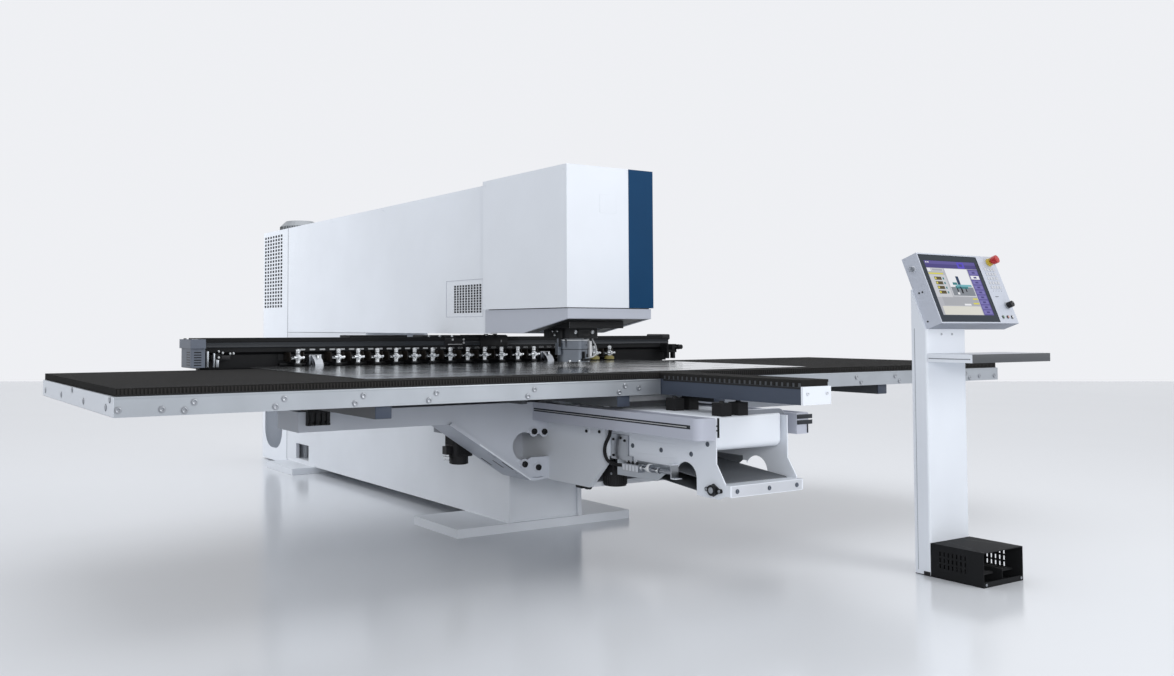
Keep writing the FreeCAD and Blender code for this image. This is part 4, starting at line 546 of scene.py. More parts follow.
# The frame's pale paint darkened: painted shade of the outriggers and their pads under the table.
OUTRIGGER_SHADE_GREY = Finish("outrigger_grey", (0.52, 0.55, 0.61), 0.45, bump=0.08, variation=0.04, dust=0.03)
MATT_BLACK = Finish("matt_black", (0.014, 0.0145, 0.0155), 0.60, bump=0.06, variation=0.12, dust=0.0, specular=0.08)
# Darker grey than the housing: painted shade for the console housing's underside.
UNDER_SHADE_GREY = Finish("under_grey", (0.28, 0.305, 0.365), 0.42, bump=0.05, variation=0.04, dust=0.0)
KEY_GREY = Finish("key_grey", (0.52, 0.53, 0.55), 0.45, bump=0.05, variation=0.04, dust=0.0)
SHELF_GREY = Finish("shelf_grey", (0.46, 0.48, 0.53), 0.35, bump=0.05, variation=0.04, dust=0.04)
LAMP_GREEN = Finish("lamp_green", (0.30, 0.42, 0.32), 0.25, bump=0.02, variation=0.05, dust=0.0, coat=0.3)
LAMP_RED = Finish("lamp_red", (0.45, 0.24, 0.22), 0.25, bump=0.02, variation=0.05, dust=0.0, coat=0.3)
LAMP_WHITE = Finish("lamp_white", (0.60, 0.61, 0.62), 0.25, bump=0.02, variation=0.05, dust=0.0, coat=0.3)
UI_GREY = lit("grey", (0.48, 0.49, 0.53))
UI_PALE = lit("pale", (0.62, 0.63, 0.66))
UI_MID = lit("mid", (0.42, 0.43, 0.46))
UI_WHITE = lit("white", (0.86, 0.87, 0.90))
UI_CREAM = lit("cream", (0.74, 0.73, 0.66))
UI_VIOLET = lit("violet", (0.115, 0.095, 0.32))
UI_DEEP_VIOLET = lit("deep_violet", (0.070, 0.058, 0.22))
UI_BRIGHT_VIOLET = lit("bright_violet", (0.10, 0.07, 0.55))
UI_LILAC = lit("lilac", (0.20, 0.18, 0.46))
UI_YELLOW = lit("yellow", (0.72, 0.66, 0.10))
UI_BROWN = lit("brown", (0.10, 0.075, 0.025))
UI_STEEL = lit("steel", (0.24, 0.26, 0.29))
UI_NAVY = lit("navy", (0.012, 0.04, 0.10))
UI_TEAL = lit("teal", (0.05, 0.22, 0.24))
UI_CYAN = lit("cyan", (0.18, 0.46, 0.52))
UI_BLACK = lit("black", (0.012, 0.014, 0.016))

NODES_OF: dict[Finish, str] = {
    FRAME_GREY: "c_frame",
    CASING_WHITE: "arm_cover head_cover rear_cover extension_end_plate conveyor_frame conveyor_hood console_column "
                  "console_tray",
    DEEP_BLUE: "stripe_panel",
    CHIN_GREY: "head_chin",
    FAN_METAL: "fan_guard",
    BLACK_PLASTIC: "fan_rotor motors override_knob start_button stop_button hold_button",
    HEAD_STEEL: "ram_cylinder stripper",
    MIRROR_STEEL: "ram",
    DARK_CAST: "punch_housing",
    GROUND_STEEL: "upper_tool_holder die_holder lower_tool_holder drive_pinion clamp_bases left_clamp_jaw "
                  "right_clamp_jaw front_roller rear_roller pneumatic_unit key_switch",
    RUBBER: "hoses rubber_buffers",
    SATIN_ALUMINIUM: "left_table_frame right_table_frame part_slide",
    BRUSH_BLACK: "brush_decks centre_brush part_flap",
    BLACK_SATIN: "guide_beam guide_carriages flange_bearings",
    TRAY_GREY: "y_rails",
    RAIL_BLACK: "x_beam x_end_brackets",
    PIN_SILVER: "magazine_tools",
    SHEET_STEEL: "sheet",
    SLATE_BEAM: "centre_beam",
    OUTRIGGER_SHADE_GREY: "left_outrigger right_outrigger",
    CHANNEL_GREY: "guide_channels",
    BELT: "conveyor_belt",
    HOUSING_GREY: "console_housing",
    SLATE_GLASS: "console_screen",
    SIGNAL_RED: "e_stop_button",
    MATT_BLACK: "pedal_guard left_pedal right_pedal",
}
NODE_FINISH: dict[str, Finish] = {name: finish for finish, names in NODES_OF.items() for name in names.split()}


def dress(piece: Piece, finish: Finish) -> None:
    """Gives a piece one finish all over."""
    piece.data.materials.clear()
    piece.data.materials.append(finish.make())


def dress_nodes() -> None:
    """Gives every CAD node its finish."""
    for name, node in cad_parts.items():
        dress(node, NODE_FINISH[name])
        log.info("finish of %s: %s", name, NODE_FINISH[name].name)


# ---------------------------------------------------------------- cords
@dataclass
class Hose:
    """A hose or cable on one smooth line, both ends in the machine."""

    name: str
    points: list[Point]
    diameter: float
    length: float
    finish: Finish

    def build(self) -> Piece:
        data = bpy.data.curves.new(self.name, "CURVE")
        data.dimensions = "3D"
        line = data.splines.new("NURBS")
        line.points.add(len(self.points) - 1)
        for knot, point in zip(line.points, self.points):
            knot.co = (*at_punch(point), 1.0)
        line.order_u = 3
        line.use_endpoint_u = True
        line.resolution_u = 16
        data.bevel_depth = self.diameter / 2
        data.bevel_resolution = 4
        data.use_fill_caps = True
        hose = bpy.data.objects.new(self.name, data)
        bpy.context.scene.collection.objects.link(hose)
        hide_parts("hoses")
        data.materials.append(self.finish.make())
        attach(hose, "frame")
        log.info("cord %s: %s, on frame", self.name, self.finish.name)
        return hose


@dataclass
class Cords:
    """The two air hoses of the punching head and the cable loop on the lower arm's nose."""

    top: float = 1.022
    hose_diameter: float = 0.0068
    cable_diameter: float = 0.016

    def build(self) -> None:
        """Lays all three and the fittings where they leave the machine."""
        top = self.top
        first = [(0.118, -0.010, top), (0.120, -0.010, top - 0.022), (0.134, -0.020, top - 0.048),
                 (0.132, -0.032, top - 0.074), (0.120, -0.042, top - 0.096), (0.094, -0.043, top - 0.112),
                 (0.0705, -0.0386, top - 0.114)]
        second = [(0.110, 0.012, top), (0.111, 0.010, top - 0.026), (0.121, -0.006, top - 0.052),
                  (0.119, -0.016, top - 0.078), (0.102, -0.020, top - 0.100), (0.0782, -0.020, top - 0.106)]
        cable = [(-0.246, -0.604, 0.6119), (-0.248, -0.602, 0.576), (-0.254, -0.576, 0.538), (-0.254, -0.568, 0.496),
                 (-0.250, -0.584, 0.458), (-0.242, -0.630, 0.446), (-0.238, -0.664, 0.449), (-0.238, -0.6918, 0.449)]
        Hose("air_hose_front", first, self.hose_diameter, 0.160, HOSE_SILVER).build()
        Hose("air_hose_rear", second, self.hose_diameter, 0.135, HOSE_SILVER).build()
        Hose("nose_cable", cable, self.cable_diameter, 0.270, RUBBER).build()
        sleeve = [(0.0046, 0.006), (0.0038, 0.005), (0.0028, 0.004)]
        gland = [(0.011, 0.008), (0.0085, 0.010), (0.006, 0.006)]
        stacks("front_hose_fitting", MIRROR_STEEL, sleeve, first[:1], Facing.DOWN, 12, 0.0004)
        stacks("rear_hose_fitting", MIRROR_STEEL, sleeve, second[:1], Facing.DOWN, 12, 0.0004)
        stacks("cable_gland", BLACK_PLASTIC, gland, cable[:1], Facing.DOWN, 16)


# ---------------------------------------------------------------- table
@dataclass
class TableDress:
    """Fasteners, comb edges and rail ends of the moving table."""

    skirt_front: float = -0.766
    skirt_left: float = -2.475
    deck_front: float = -0.758
    tooth_pitch: float = 0.013
    tooth_width: float = 0.0065
    tooth_proud: float = 0.0028
    tooth_z: Pair = (0.8395, 0.8572)
    rail_x: tuple[float, ...] = (-1.470, -0.290, 0.290, 1.470)

    def skirt_heads(self) -> None:
        """Screws along the aluminium skirts."""
        spots: list[Pair] = []
        for x in (-2.240, -1.912, -1.598, -1.282, -0.814, -0.330):
            spots += [(x, 0.781), (x + 0.034, 0.808)]
        spots += [(-2.462, 0.790), (-2.317, 0.787), (-0.218, 0.797), (2.298, 0.790), (2.440, 0.788)]
        for x in (1.278, 1.588, 1.898, 2.207):
            spots += [(x, 0.781), (x - 0.035, 0.808)]
        front = [(x, self.skirt_front, z) for x, z in spots]
        ends = [(self.skirt_left, y, z) for y, z in ((0.510, 0.792), (0.148, 0.792), (-0.287, 0.792), (-0.652, 0.792),
                                                     (-0.073, 0.823), (-0.711, 0.823))]
        for name, places, facing in (("front_skirt_screws", front, Facing.FRONT),
                                     ("left_end_screws", ends, Facing.LEFT),
                                     ("right_end_screws", mirrored(ends), Facing.RIGHT)):
            Heads(name, places, facing, GROUND_STEEL, "table", 0.0105, 0.004, 0.0135).build()

    def comb(self, name: str, low: float, high: float) -> None:
        """Row of bristle combs along a wing's front edge."""
        count = int((high - low) / self.tooth_pitch)
        tooth = block(name, (low, self.deck_front - self.tooth_proud, self.tooth_z[0]),
                      (low + self.tooth_width, self.deck_front + 0.001, self.tooth_z[1]))
        with faces_picked(tooth, toward(Facing.DOWN)):
            bpy.ops.transform.resize(value=(0.55, 1.0, 1.0))
        apply_modifier(tooth, "ARRAY", count=count, use_relative_offset=False, use_constant_offset=True,
                       constant_offset_displace=(self.tooth_pitch, 0.0, 0.0))
        seat(tooth, COMB_BROWN, "table")

    def edges(self) -> None:
        """Strips that hold the combs, seam covers of the skirt, rail ends and the pale covers of the table's ends."""
        deck, skirt = self.deck_front, self.skirt_front
        blocks("comb_holders", BLACK_SATIN, [((low, deck - 0.0015, 0.8342), (high, deck + 0.001, 0.8392))
                                             for low, high in ((-2.467, -0.092), (0.080, 2.467))], 0.0006, 1, "table")
        blocks("skirt_lips", SATIN_ALUMINIUM, [((low, skirt - 0.0012, 0.826), (high, skirt + 0.001, 0.8335))
                                               for low, high in ((-2.473, -0.092), (0.080, 2.473))], 0.0007, 2, "table")
        blocks("rail_end_plates", SLATE_BEAM, [((x - 0.0345, -0.7485, 0.716), (x + 0.0345, -0.7445, 0.7645))
                                               for x in self.rail_x], body="table")
        blocks("end_covers", CASING_WHITE, [on_side(side, (2.4740, 2.4762), (-0.764, 0.578), (0.7670, 0.8330))
                                            for side in SIDES], 0.0006, 1, "table")

    def build(self) -> None:
        """Builds everything on the table."""
        self.skirt_heads()
        self.comb("left_comb", -2.464, -0.094)
        self.comb("right_comb", 0.082, 2.464)
        self.edges()


@dataclass
class ExtensionDress:
    """Fasteners and trim of the fixed front extension."""

    left: float = -0.086
    right: float = 0.074
    end: float = -1.563
    inner: float = -0.780

    def build(self) -> None:
        """Builds the end plate's screws, the side strips and the flap's grip."""
        heads = [(-0.060, self.end, 0.808), (0.050, self.end, 0.808)]
        Heads("extension_end_screws", heads, Facing.FRONT, PALE_ALUMINIUM).build()
        blocks("extension_side_strips", BLACK_SATIN, [
            ((low, self.end + 0.012, 0.8262), (high, self.inner, 0.8335))
            for low, high in ((self.left - 0.0016, self.left + 0.001), (self.right - 0.001, self.right + 0.0016))],
            0.0005, 1)
        blocks("comb_backs", TRAY_GREY, [((x - 0.0004, self.end + 0.014, 0.8342), (x + 0.0004, self.inner, 0.8492))
                                         for x in (-0.0822, 0.0702)], 0.0002, 1)
        blocks("flap_bristles", BRUSH_BLACK, [((-0.070, y, 0.8612), (0.058, y + 0.006, 0.8618))
                                              for y in spread(-0.505, -0.200, 16)], 0.0002, 1, "flap")


# ---------------------------------------------------------------- X carriage
@dataclass
class CarriageDress:
    """Bands, slots and end units of the travelling beam."""

    left: float = -1.700
    right: float = 1.390
    front: float = 0.800
    ledge: float = 0.830
    slot_pitch: float = 0.0569
    louvre_pitch: float = 0.0125
    body: str = "x_carriage"

    def bands(self) -> None:
        """Cover strip, cap and lip along the front, pale slot inserts, and the magazine's back and rail."""
        left, right, front, ledge = self.left, self.right, self.front, self.ledge
        panel("front_strip", STRIP_GREY, (left + 0.004, front - 0.0015, 0.9625),
              (right - 0.004, front + 0.0095, 0.9885), Facing.FRONT, 0.003, -0.0008, 0.0006, 2, self.body)
        cap = rounded_block("top_cap", (left + 0.002, front - 0.0012, 1.0085), (right - 0.002, front + 0.030, 1.0118),
                            0.0012)
        lip = rounded_block("lower_lip", (left + 0.004, front - 0.001, 0.9540), (right - 0.004, front + 0.002, 0.9600),
                            0.0006, 1)
        seat(join("rail_caps", [cap, lip]), RAIL_BLACK, self.body)
        insert = block("slot_insert", (-1.1785, front - 0.0006, 0.9445), (-1.1475, front + 0.0035, 0.9525))
        inset_and_push(insert, toward(Facing.FRONT), 0.0012, -0.0006)
        shifts = [(self.slot_pitch * i, 0.0, 0.0) for i in range(1, 34)]
        seat(join("slot_inserts", copies(bevel(insert, 0.0003, 1), shifts)), SLOT_GREY, self.body)
        panel("magazine_back", STRIP_STEEL, (-1.285, ledge - 0.003, 0.8935), (0.900, ledge + 0.0005, 0.9240),
              Facing.FRONT, 0.002, -0.0008, 0.0005, 1, self.body)
        blocks("magazine_rail", BLACK_SATIN, [((-1.285, ledge - 0.022, 0.8660), (0.905, ledge, 0.8780))], 0.0015,
               body=self.body)

    def left_unit(self) -> None:
        """Posts, roller, end stop and the bracket's covers at the left end."""
        blocks("left_posts", SATIN_ALUMINIUM, [((x, 0.752, 0.8665), (x + width, 0.770, top)) for x, width, top in (
            (-1.688, 0.010, 0.946), (-1.654, 0.008, 0.936), (-1.640, 0.014, 0.905))], body=self.body)
        stacks("left_roller", RAIL_BLACK, [(0.020, 0.012), (0.013, 0.004), (0.006, 0.003)], [(-1.630, 0.766, 0.915)],
               Facing.FRONT, 24, body=self.body)
        stacks("left_roller_boss", MIRROR_STEEL, [(0.0055, 0.006), (0.003, 0.002)], [(-1.630, 0.7475, 0.915)],
               Facing.FRONT, 16, 0.0004, self.body)
        stacks("left_stop_pins", MIRROR_STEEL, [(0.006, 0.010), (0.004, 0.006)], [(x, 0.800, z) for x, z in (
            (-1.615, 0.944), (-1.594, 0.936), (-1.556, 0.932), (-1.538, 0.933))], Facing.FRONT, 14, 0.0005, self.body)
        blocks("stop_arm", BLACK_PLASTIC, [((-1.660, 0.775, 0.900), (-1.560, 0.801, 0.924))], 0.003, body=self.body)
        heads = [(x, y, 1.004) for y in (0.790, 0.880) for x in (-1.760, -1.712)]
        Heads("bracket_screws", heads, Facing.UP, BLACK_SATIN, self.body, 0.0075, 0.006).build()
        blocks("bracket_covers", BRACKET_BLUE, [((-1.7764, 0.7287, 0.9602), (-1.7750, 0.9200, 1.0040)),
                                                ((-1.7750, 0.7287, 0.9602), (-1.7000, 0.7300, 1.0040)),
                                                ((-1.7764, 0.7287, 1.0040), (-1.7000, 0.9200, 1.0054)),
                                                ((-1.7714, 0.7387, 0.8660), (-1.7700, 0.9000, 0.9600)),
                                                ((-1.7700, 0.7387, 0.8660), (-1.7000, 0.7400, 0.9600))],
               0.0005, 1, self.body)
        panel("louvre_frame", BRACKET_BLUE, (-1.7722, 0.752, 0.872), (-1.7695, 0.812, 0.948), Facing.LEFT, 0.004,
              -0.0015, 0.0005, 1, self.body)
        shifts = [(0.0, 0.0, self.louvre_pitch * i) for i in range(1, 6)]
        # Black strips for the louvres' openings on the side and front: painted shade, nothing is cut through.
        side_gap_shades = copies(rounded_block("louvre", (-1.7728, 0.757, 0.877), (-1.7700, 0.807, 0.8815), 0.0006, 1), shifts)
        front_slit_shades = copies(rounded_block("louvre", (-1.7560, 0.7378, 0.8760), (-1.7190, 0.7390, 0.8810), 0.0005, 1), shifts)
        seat(join("louvres", side_gap_shades + front_slit_shades), BLACK_SATIN, self.body)

    def right_unit(self) -> None:
        """Roller tyre, hood and the top covers' screws at the right end."""
        stacks("right_roller_tyre", RUBBER, [(0.0165, 0.010), (0.014, 0.003)], [(self.right + 0.008, 0.726, 0.940)],
               Facing.RIGHT, 24, body=self.body)
        blocks("right_hood", BLACK_PLASTIC, [((self.right - 0.060, self.front - 0.004, 0.986),
                                              (self.right + 0.010, self.front + 0.150, 1.0215))], 0.008, 3, self.body)
        heads = [(x, self.front + y, 1.0220) for y in (0.040, 0.130) for x in (-0.860, -0.550)]
        Heads("cover_screws", heads, Facing.UP, GROUND_STEEL, self.body, 0.006, 0.0018).build()

    def carriage_tops(self) -> None:
        """Ribs, plates, pins and pale trims of the two small carriages above the rail."""
        stacks("carriage_pins", MIRROR_STEEL, [(0.008, 0.004), (0.005, 0.003)], [(x, 0.8045, z) for x, z in (
            (-0.400, 1.014), (-0.330, 1.014), (-0.250, 1.014), (-0.020, 1.015))], Facing.FRONT, 14, body=self.body)
        ribs = [((low, 0.8035, 1.0095), (low + 0.030, 0.921, 1.0215), 0.002)
                for low in (-0.435, -0.390, -0.345, -0.300, -0.255, -0.120, -0.075, -0.030)]
        ribs.append(((0.010, 0.8035, 1.0095), (0.126, 0.921, 1.0215), 0.003))
        ribs += [((x - 0.008, 0.806, 1.0205), (x + 0.008, 0.830, 1.0265), 0.002) for x in (-0.010, 0.052)]
        ribs += [((-0.300, 0.7930, 0.9600), (-0.168, 0.7990, 1.0060), 0.002),
                 ((-0.064, 0.7930, 0.9560), (0.126, 0.7990, 1.0180), 0.002)]
        seat(join("carriage_ribs", [rounded_block("rib", *rib) for rib in ribs]), BLACK_PLASTIC, self.body)
        trims = [rounded_block("ledge", (-0.282, 0.7905, 0.9665), (-0.187, 0.7935, 0.9705), 0.0008),
                 rounded_block("bolt", (0.0765, 0.7905, 0.9790), (0.0835, 0.7935, 0.9920))]
        trims += [turned_stack("knob", [(0.0065, 0.003), (0.004, 0.002)], (x, 0.7932, z), Facing.FRONT, 14, 0.0005)
                  for x, z in ((-0.250, 0.995), (-0.177, 0.996), (-0.177, 0.978))]
        seat(join("carriage_trims", trims), SLOT_GREY, self.body)

    def build(self) -> None:
        """Builds everything on the travelling beam but the tools."""
        self.bands()
        self.left_unit()
        self.right_unit()
        self.carriage_tops()


@dataclass
class MagazineDress:
    """Bright pins, cross bars and dark guides of the tools in the magazine."""

    first: float = -1.218
    pitch: float = 0.114
    count: int = 19
    clamps: tuple[int, ...] = (1, 14)
    far: tuple[int, ...] = (17, 18)
    axis_y: float = 0.726
    front: float = 0.708
    pin_z: float = 0.9100

    def build(self) -> None:
        """Builds one set of each kind and copies it along the magazine."""
        xs = [self.first + self.pitch * i for i in range(self.count) if i not in self.clamps]
        shifts = [(x - xs[0], 0.0, 0.0) for x in xs[1:]]
        x, y, z = xs[0], self.axis_y, self.pin_z

        def along(name: str, parts: Sequence[Piece], finish: Finish) -> None:
            """Copies one tool's parts to every tool."""
            seat(join(name, copies(join(name, parts), shifts)), finish, "x_carriage")

        cap, collar = [(0.0150, 0.006), (0.0120, 0.004), (0.0070, 0.003)], [(0.0165, 0.005)]
        along("tool_caps", [turned_stack("cap", cap, (x, y, 0.9400), Facing.UP, 20, 0.0008),
                            turned_stack("collar", collar, (x, y, 0.8935), Facing.UP, 20, 0.0008)], MIRROR_STEEL)
        cross = [bar("cross_pin", 0.0045, (x, self.front, z), 0.050, Axis.X, 14)]
        cross += [bar("cross_end", 0.0065, (x + side * 0.024, self.front, z), 0.010, Axis.X, 14) for side in SIDES]
        knob = turned_stack("knob", [(0.0105, 0.009), (0.0070, 0.003)], (x, self.front + 0.002, z), Facing.FRONT, 18)
        along("cross_pins", [bevel(join("cross_pin", cross), 0.0008, 1), knob], PIN_SILVER)
        along("tool_shoes", [rounded_block("shoe", (x - 0.020, 0.716, 0.8672), (x + 0.020, 0.826, 0.8800), 0.003)],
              BLACK_SATIN)
        along("tool_guides", [rounded_block("guide", (x + low, 0.738, 0.8880), (x + low + 0.0045, 0.829, 0.9360))
                              for low in (-0.0390, 0.0345)], DARK_BROWN)
        along("tool_bands", [turned_stack("band", [(0.0135, 0.004)], (x, y, 0.9260), Facing.UP, 20, 0.0004)],
              BLACK_PLASTIC)
        stacks("olive_cups", OLIVE, [(0.030, 0.016), (0.024, 0.006)],
               [(self.first + self.pitch * i, y, 0.8700) for i in self.far], Facing.UP, 24, 0.0015, "x_carriage")


@dataclass
class ClampDress:
    """Screws, springs and grips of the two sheet clamps."""

    places: Pair = (-1.104, 0.378)

    def build(self) -> None:
        """Dresses the bases and both jaws."""
        for x, body in zip(self.places, ("left_jaw", "right_jaw")):
            blocks(f"{body}_grips", RUBBER, [((x + low, 0.7105, 0.8650), (x + low + 0.012, 0.7260, 0.8690))
                                             for low in (-0.021, -0.006, 0.009)], 0.0006, body=body)
            rib = rounded_block("rib", (x - 0.004, 0.7300, 0.8900), (x + 0.004, 0.7660, 0.9190), 0.002)
            with faces_picked(rib, lambda _centre, normal: normal.y < -0.9):
                bpy.ops.transform.translate(value=(0.0, 0.0, -0.006))
            seat(rib, MIRROR_STEEL, body)
        heads = [(x - 0.034, y, z) for x in self.places for y, z in ((0.780, 0.908), (0.806, 0.884))]
        Heads("clamp_pins_left", heads, Facing.LEFT, BLACK_SATIN, "x_carriage", 0.008, 0.004).build()
        Heads("clamp_pins_right", [(x + 0.068, y, z) for x, y, z in heads], Facing.RIGHT, BLACK_SATIN, "x_carriage",
              0.008, 0.004).build()


# ---------------------------------------------------------------- head and casings
@dataclass
class HeadDress:
    """Fasteners and fittings of the punching head."""

    housing_front: float = -0.090
    stripper_radius: float = 0.082
    bore: float = 0.065

    def housing(self) -> None:
        """Screws, sensor block and cover plate on the guide housing."""
        heads = [(-0.050, self.housing_front, 1.041), (0.059, self.housing_front, 1.041)]
        Heads("housing_screws", heads, Facing.FRONT, MIRROR_STEEL, "frame", 0.0075, 0.005, 0.010).build()
        panel("housing_plate", BLACK_SATIN, (-0.036, self.housing_front - 0.004, 1.016),
              (0.044, self.housing_front, 1.056), Facing.FRONT, 0.004, -0.0015, 0.0008)
        blocks("side_bracket", BLACK_SATIN, [((-0.121, -0.060, 1.012), (-0.103, 0.040, 1.058))], 0.002)
        blocks("side_finger", DARK_CAST, [((-0.118, -0.052, 0.966), (-0.112, -0.036, 1.013))], 0.0015)
        stacks("side_pins", MIRROR_STEEL, [(0.006, 0.008), (0.004, 0.004)],
               [(-0.121, y, z) for y, z in ((-0.040, 1.046), (0.000, 1.046), (-0.020, 1.026))], Facing.LEFT, 14, 0.0005)

    def hoop(self, name: str, finish: Finish, proud: float, low: float, high: float, edge: float) -> None:
        """Ring round the hold-down, open where the ram goes through."""
        radius = self.stripper_radius + proud
        ring = bar(name, radius, (0.0, 0.0, (low + high) / 2), high - low, Axis.Z, 64)
        bridge_through(ring, Facing.UP, radius - self.bore)
        seat(bevel(ring, edge, 1), finish, "hold_down")

    def hold_down(self) -> None:
        """Seal ring, white sensor sleeve and dark jaw pieces of the hold-down."""
        self.hoop("hold_down_seal", RUBBER, 0.0006, 0.9515, 0.9545, 0.0006)
        self.hoop("hold_down_rim", MIRROR_STEEL, 0.0012, 0.9965, 1.0025, 0.0012)
        blocks("sensor_sleeve", WHITE_PLASTIC, [((0.0600, -0.0680, 0.9130), (0.0740, -0.0510, 0.9960))], 0.004, 3,
               "hold_down")
        blocks("hold_down_jaws", BLACK_SATIN, [((-0.004, -0.0900, 0.8930), (0.026, -0.0770, 0.9060)),
                                               ((0.004, -0.0915, 0.9060), (0.012, -0.0770, 0.9420)),
                                               ((0.018, -0.0915, 0.9120), (0.030, -0.0740, 0.9300)),
                                               ((0.034, -0.0860, 0.8930), (0.050, -0.0660, 0.9050))],
               0.0015, body="hold_down")
        blocks("hold_down_feet", MIRROR_STEEL, [((x - 0.006, y - 0.006, 0.8895), (x + 0.006, y + 0.006, 0.8975))
                                                for x, y in ((-0.060, -0.055), (0.062, -0.052), (-0.020, -0.080),
                                                             (0.078, -0.018))], 0.0015, body="hold_down")

    def casings(self) -> None:
        """Blank square plate on the head and small screws on the casings."""
        panel("blank_plate", CASING_WHITE, (-0.068, -0.3142, 1.628), (0.036, -0.3128, 1.720), Facing.FRONT, 0.0015,
              -0.0004, 0.0003, 1)
        head = [(-0.270, y, z) for y in (-0.285, 0.415) for z in (1.185, 1.830)]
        arm = [(-0.236, y, z) for y in (0.900, 1.700, 2.500, 3.290) for z in (1.048, 1.822)]
        for name, places, facing in (
                ("head_side_screws", head, Facing.LEFT), ("head_right_screws", mirrored(head[2:]), Facing.RIGHT),
                ("arm_side_screws", arm, Facing.LEFT), ("arm_right_screws", mirrored(arm), Facing.RIGHT)):
            Heads(name, places, facing, CASING_WHITE, "frame", 0.006, 0.0012).build()
        seal = rounded_block("chin_seal", (-0.255, -0.300, 1.1562), (0.255, 0.400, 1.1612))
        inset_and_push(seal, toward(Facing.DOWN), 0.030, 0.0)
        seat(seal, RUBBER, "frame")

    def build(self) -> None:
        """Builds everything on the head."""
        self.housing()
        self.hold_down()
        self.casings()


@dataclass
class CasingDress:
    """Dark under-plates of the head, filters behind the vents, seam strips and the vent panel's frame."""

    arm_half: float = 0.170
    arm_bottom: float = 1.062
    arm_front: float = -0.200
    rim_y: float = 0.070
    rim_z: float = 1.036
    rim_angle_deg: float = 10.84
    skin: float = 0.236
    seam_y: float = 3.3405
    roof: float = 1.841

    def under_head(self) -> None:
        """Plates on the upper arm's nose and between it and the chin's rim."""
        x, z, y = self.arm_half, self.arm_bottom, self.arm_front
        spans = [((-x, y - 0.002, z - 0.002), (x, -0.093, z)), ((-x, -0.093, z - 0.002), (-0.106, 0.340, z)),
                 ((0.136, -0.093, z - 0.002), (x, 0.340, z)), ((-x, y - 0.002, z), (x, y, 1.118)),
                 ((-x - 0.002, y, z), (-x, 0.060, 1.112)), ((x, y, z), (x + 0.002, 0.060, 1.112))]
        plates = [rounded_block("under_plate", low, high, 0.0006, 1) for low, high in spans]
        level = self.rim_z + 0.004
        hinge = at_punch((0.0, self.rim_y, self.rim_z))
        for low_x, high_x, low_y, high_y in ((-0.2475, -0.1735, -0.290, 0.066), (0.1735, 0.2475, -0.290, 0.066),
                                             (-0.1735, 0.1735, -0.290, -0.2045)):
            web = rounded_block("under_web", (low_x, low_y, level), (high_x, high_y, level + 0.002), 0.0006, 1)
            plates.append(turn_about(web, hinge, -math.radians(self.rim_angle_deg), Axis.X))
        seat(join("head_under_plates", plates), BLACK_SATIN, "frame")

    def vents(self) -> None:
        """Black filter pads behind both fields of holes, and black rims round the holes that paint the holes' shade."""
        for name, y, z in (("arm_filter", (0.505, 0.808), (1.140, 1.309)),
                           ("rear_filter", (3.460, 3.850), (1.215, 1.812))):
            panel(name, BLACK_SATIN, (-self.skin + 0.0032, y[0], z[0]), (-self.skin + 0.0060, y[1], z[1]), Facing.LEFT,
                  0.006, -0.0006, 0.0005, 1)
        # Black rims a little wider than each hole: painted shade that makes the holes read darker.
        fields = (("arm_hole_rims", (0.521, 0.792, 10), (1.152, 1.297, 11), 0.0080, 0.00375, 0.0020, 0.2352),
                  ("rear_hole_rims", (3.482, 3.830, 7), (1.234, 1.794, 21), 0.0150, 0.0065, 0.0026, 0.2362))
        for name, along, up, half_y, half_z, margin, skin in fields:
            ys, zs = spread(*along), spread(*up)
            rim = block(name, (-skin - 0.0002, ys[0] - half_y - margin, zs[0] - half_z - margin),
                        (-skin + 0.0008, ys[0] + half_y + margin, zs[0] + half_z + margin))
            bridge_through(rim, Facing.LEFT, margin)
            shifts = [(0.0, y - ys[0], z - zs[0]) for y in ys for z in zs][1:]
            seat(join(name, copies(rim, shifts)), MATT_BLACK, "frame")

    def seams(self) -> None:
        """Strips over the joint between the arm's and the rear casing, and the vent panel's frame."""
        low_y, high_y, out, inner = self.seam_y - 0.0035, self.seam_y + 0.0035, self.skin + 0.0008, self.skin - 0.001
        under = self.roof - 0.001
        blocks("casing_seams", SLATE_GREY, [((-out, low_y, 0.050), (-inner, high_y, under)),
                                            ((inner, low_y, 0.050), (out, high_y, under)),
                                            ((-out, low_y, under), (out, high_y, self.roof + 0.0008))], 0.0004, 1)
        low, high, step = (0.492, 1.123), (0.891, 1.332), 0.0028
        edges = [(low, (low[0] + step, high[1])), ((high[0] - step, low[1]), high), (low, (high[0], low[1] + step)),
                 ((low[0], high[1] - step), high)]
        blocks("vent_panel_frame", CHIN_GREY,
               [((-self.skin - 0.0004, *a), (-self.skin + 0.0015, *b)) for a, b in edges], 0.0003, 1)

    def build(self) -> None:
        """Builds everything on the casings."""
        self.under_head()
        self.vents()
        self.seams()


@dataclass
class FanDress:
    """Louvres round the fan guard's rim and the wire rings on its top."""

    place: Point = (0.0, 3.680, 1.841)
    radius: float = 0.160
    louvres: int = 48

    def build(self) -> None:
        """Builds the louvres and the mesh rings."""
        x, y, z = self.place
        centre = at_punch(self.place)
        fin = rounded_block("fin", (x + self.radius - 0.004, y - 0.0025, z + 0.006),
                            (x + self.radius + 0.0018, y + 0.0025, z + 0.046), 0.0006, 1)
        seat(join("fan_louvres", turned_copies(fin, centre, self.louvres)), BLACK_SATIN, "frame")
        rings = []
        for radius in (0.022, 0.060, 0.096):
            clear_selection()
            bpy.ops.mesh.primitive_torus_add(major_radius=radius, minor_radius=0.0018, major_segments=40,
                                             minor_segments=6, location=(centre[0], centre[1], z + 0.0915))
            rings.append(settle(bpy.context.active_object))
        seat(smooth(join("fan_wire_rings", rings)), SATIN_ALUMINIUM, "frame")


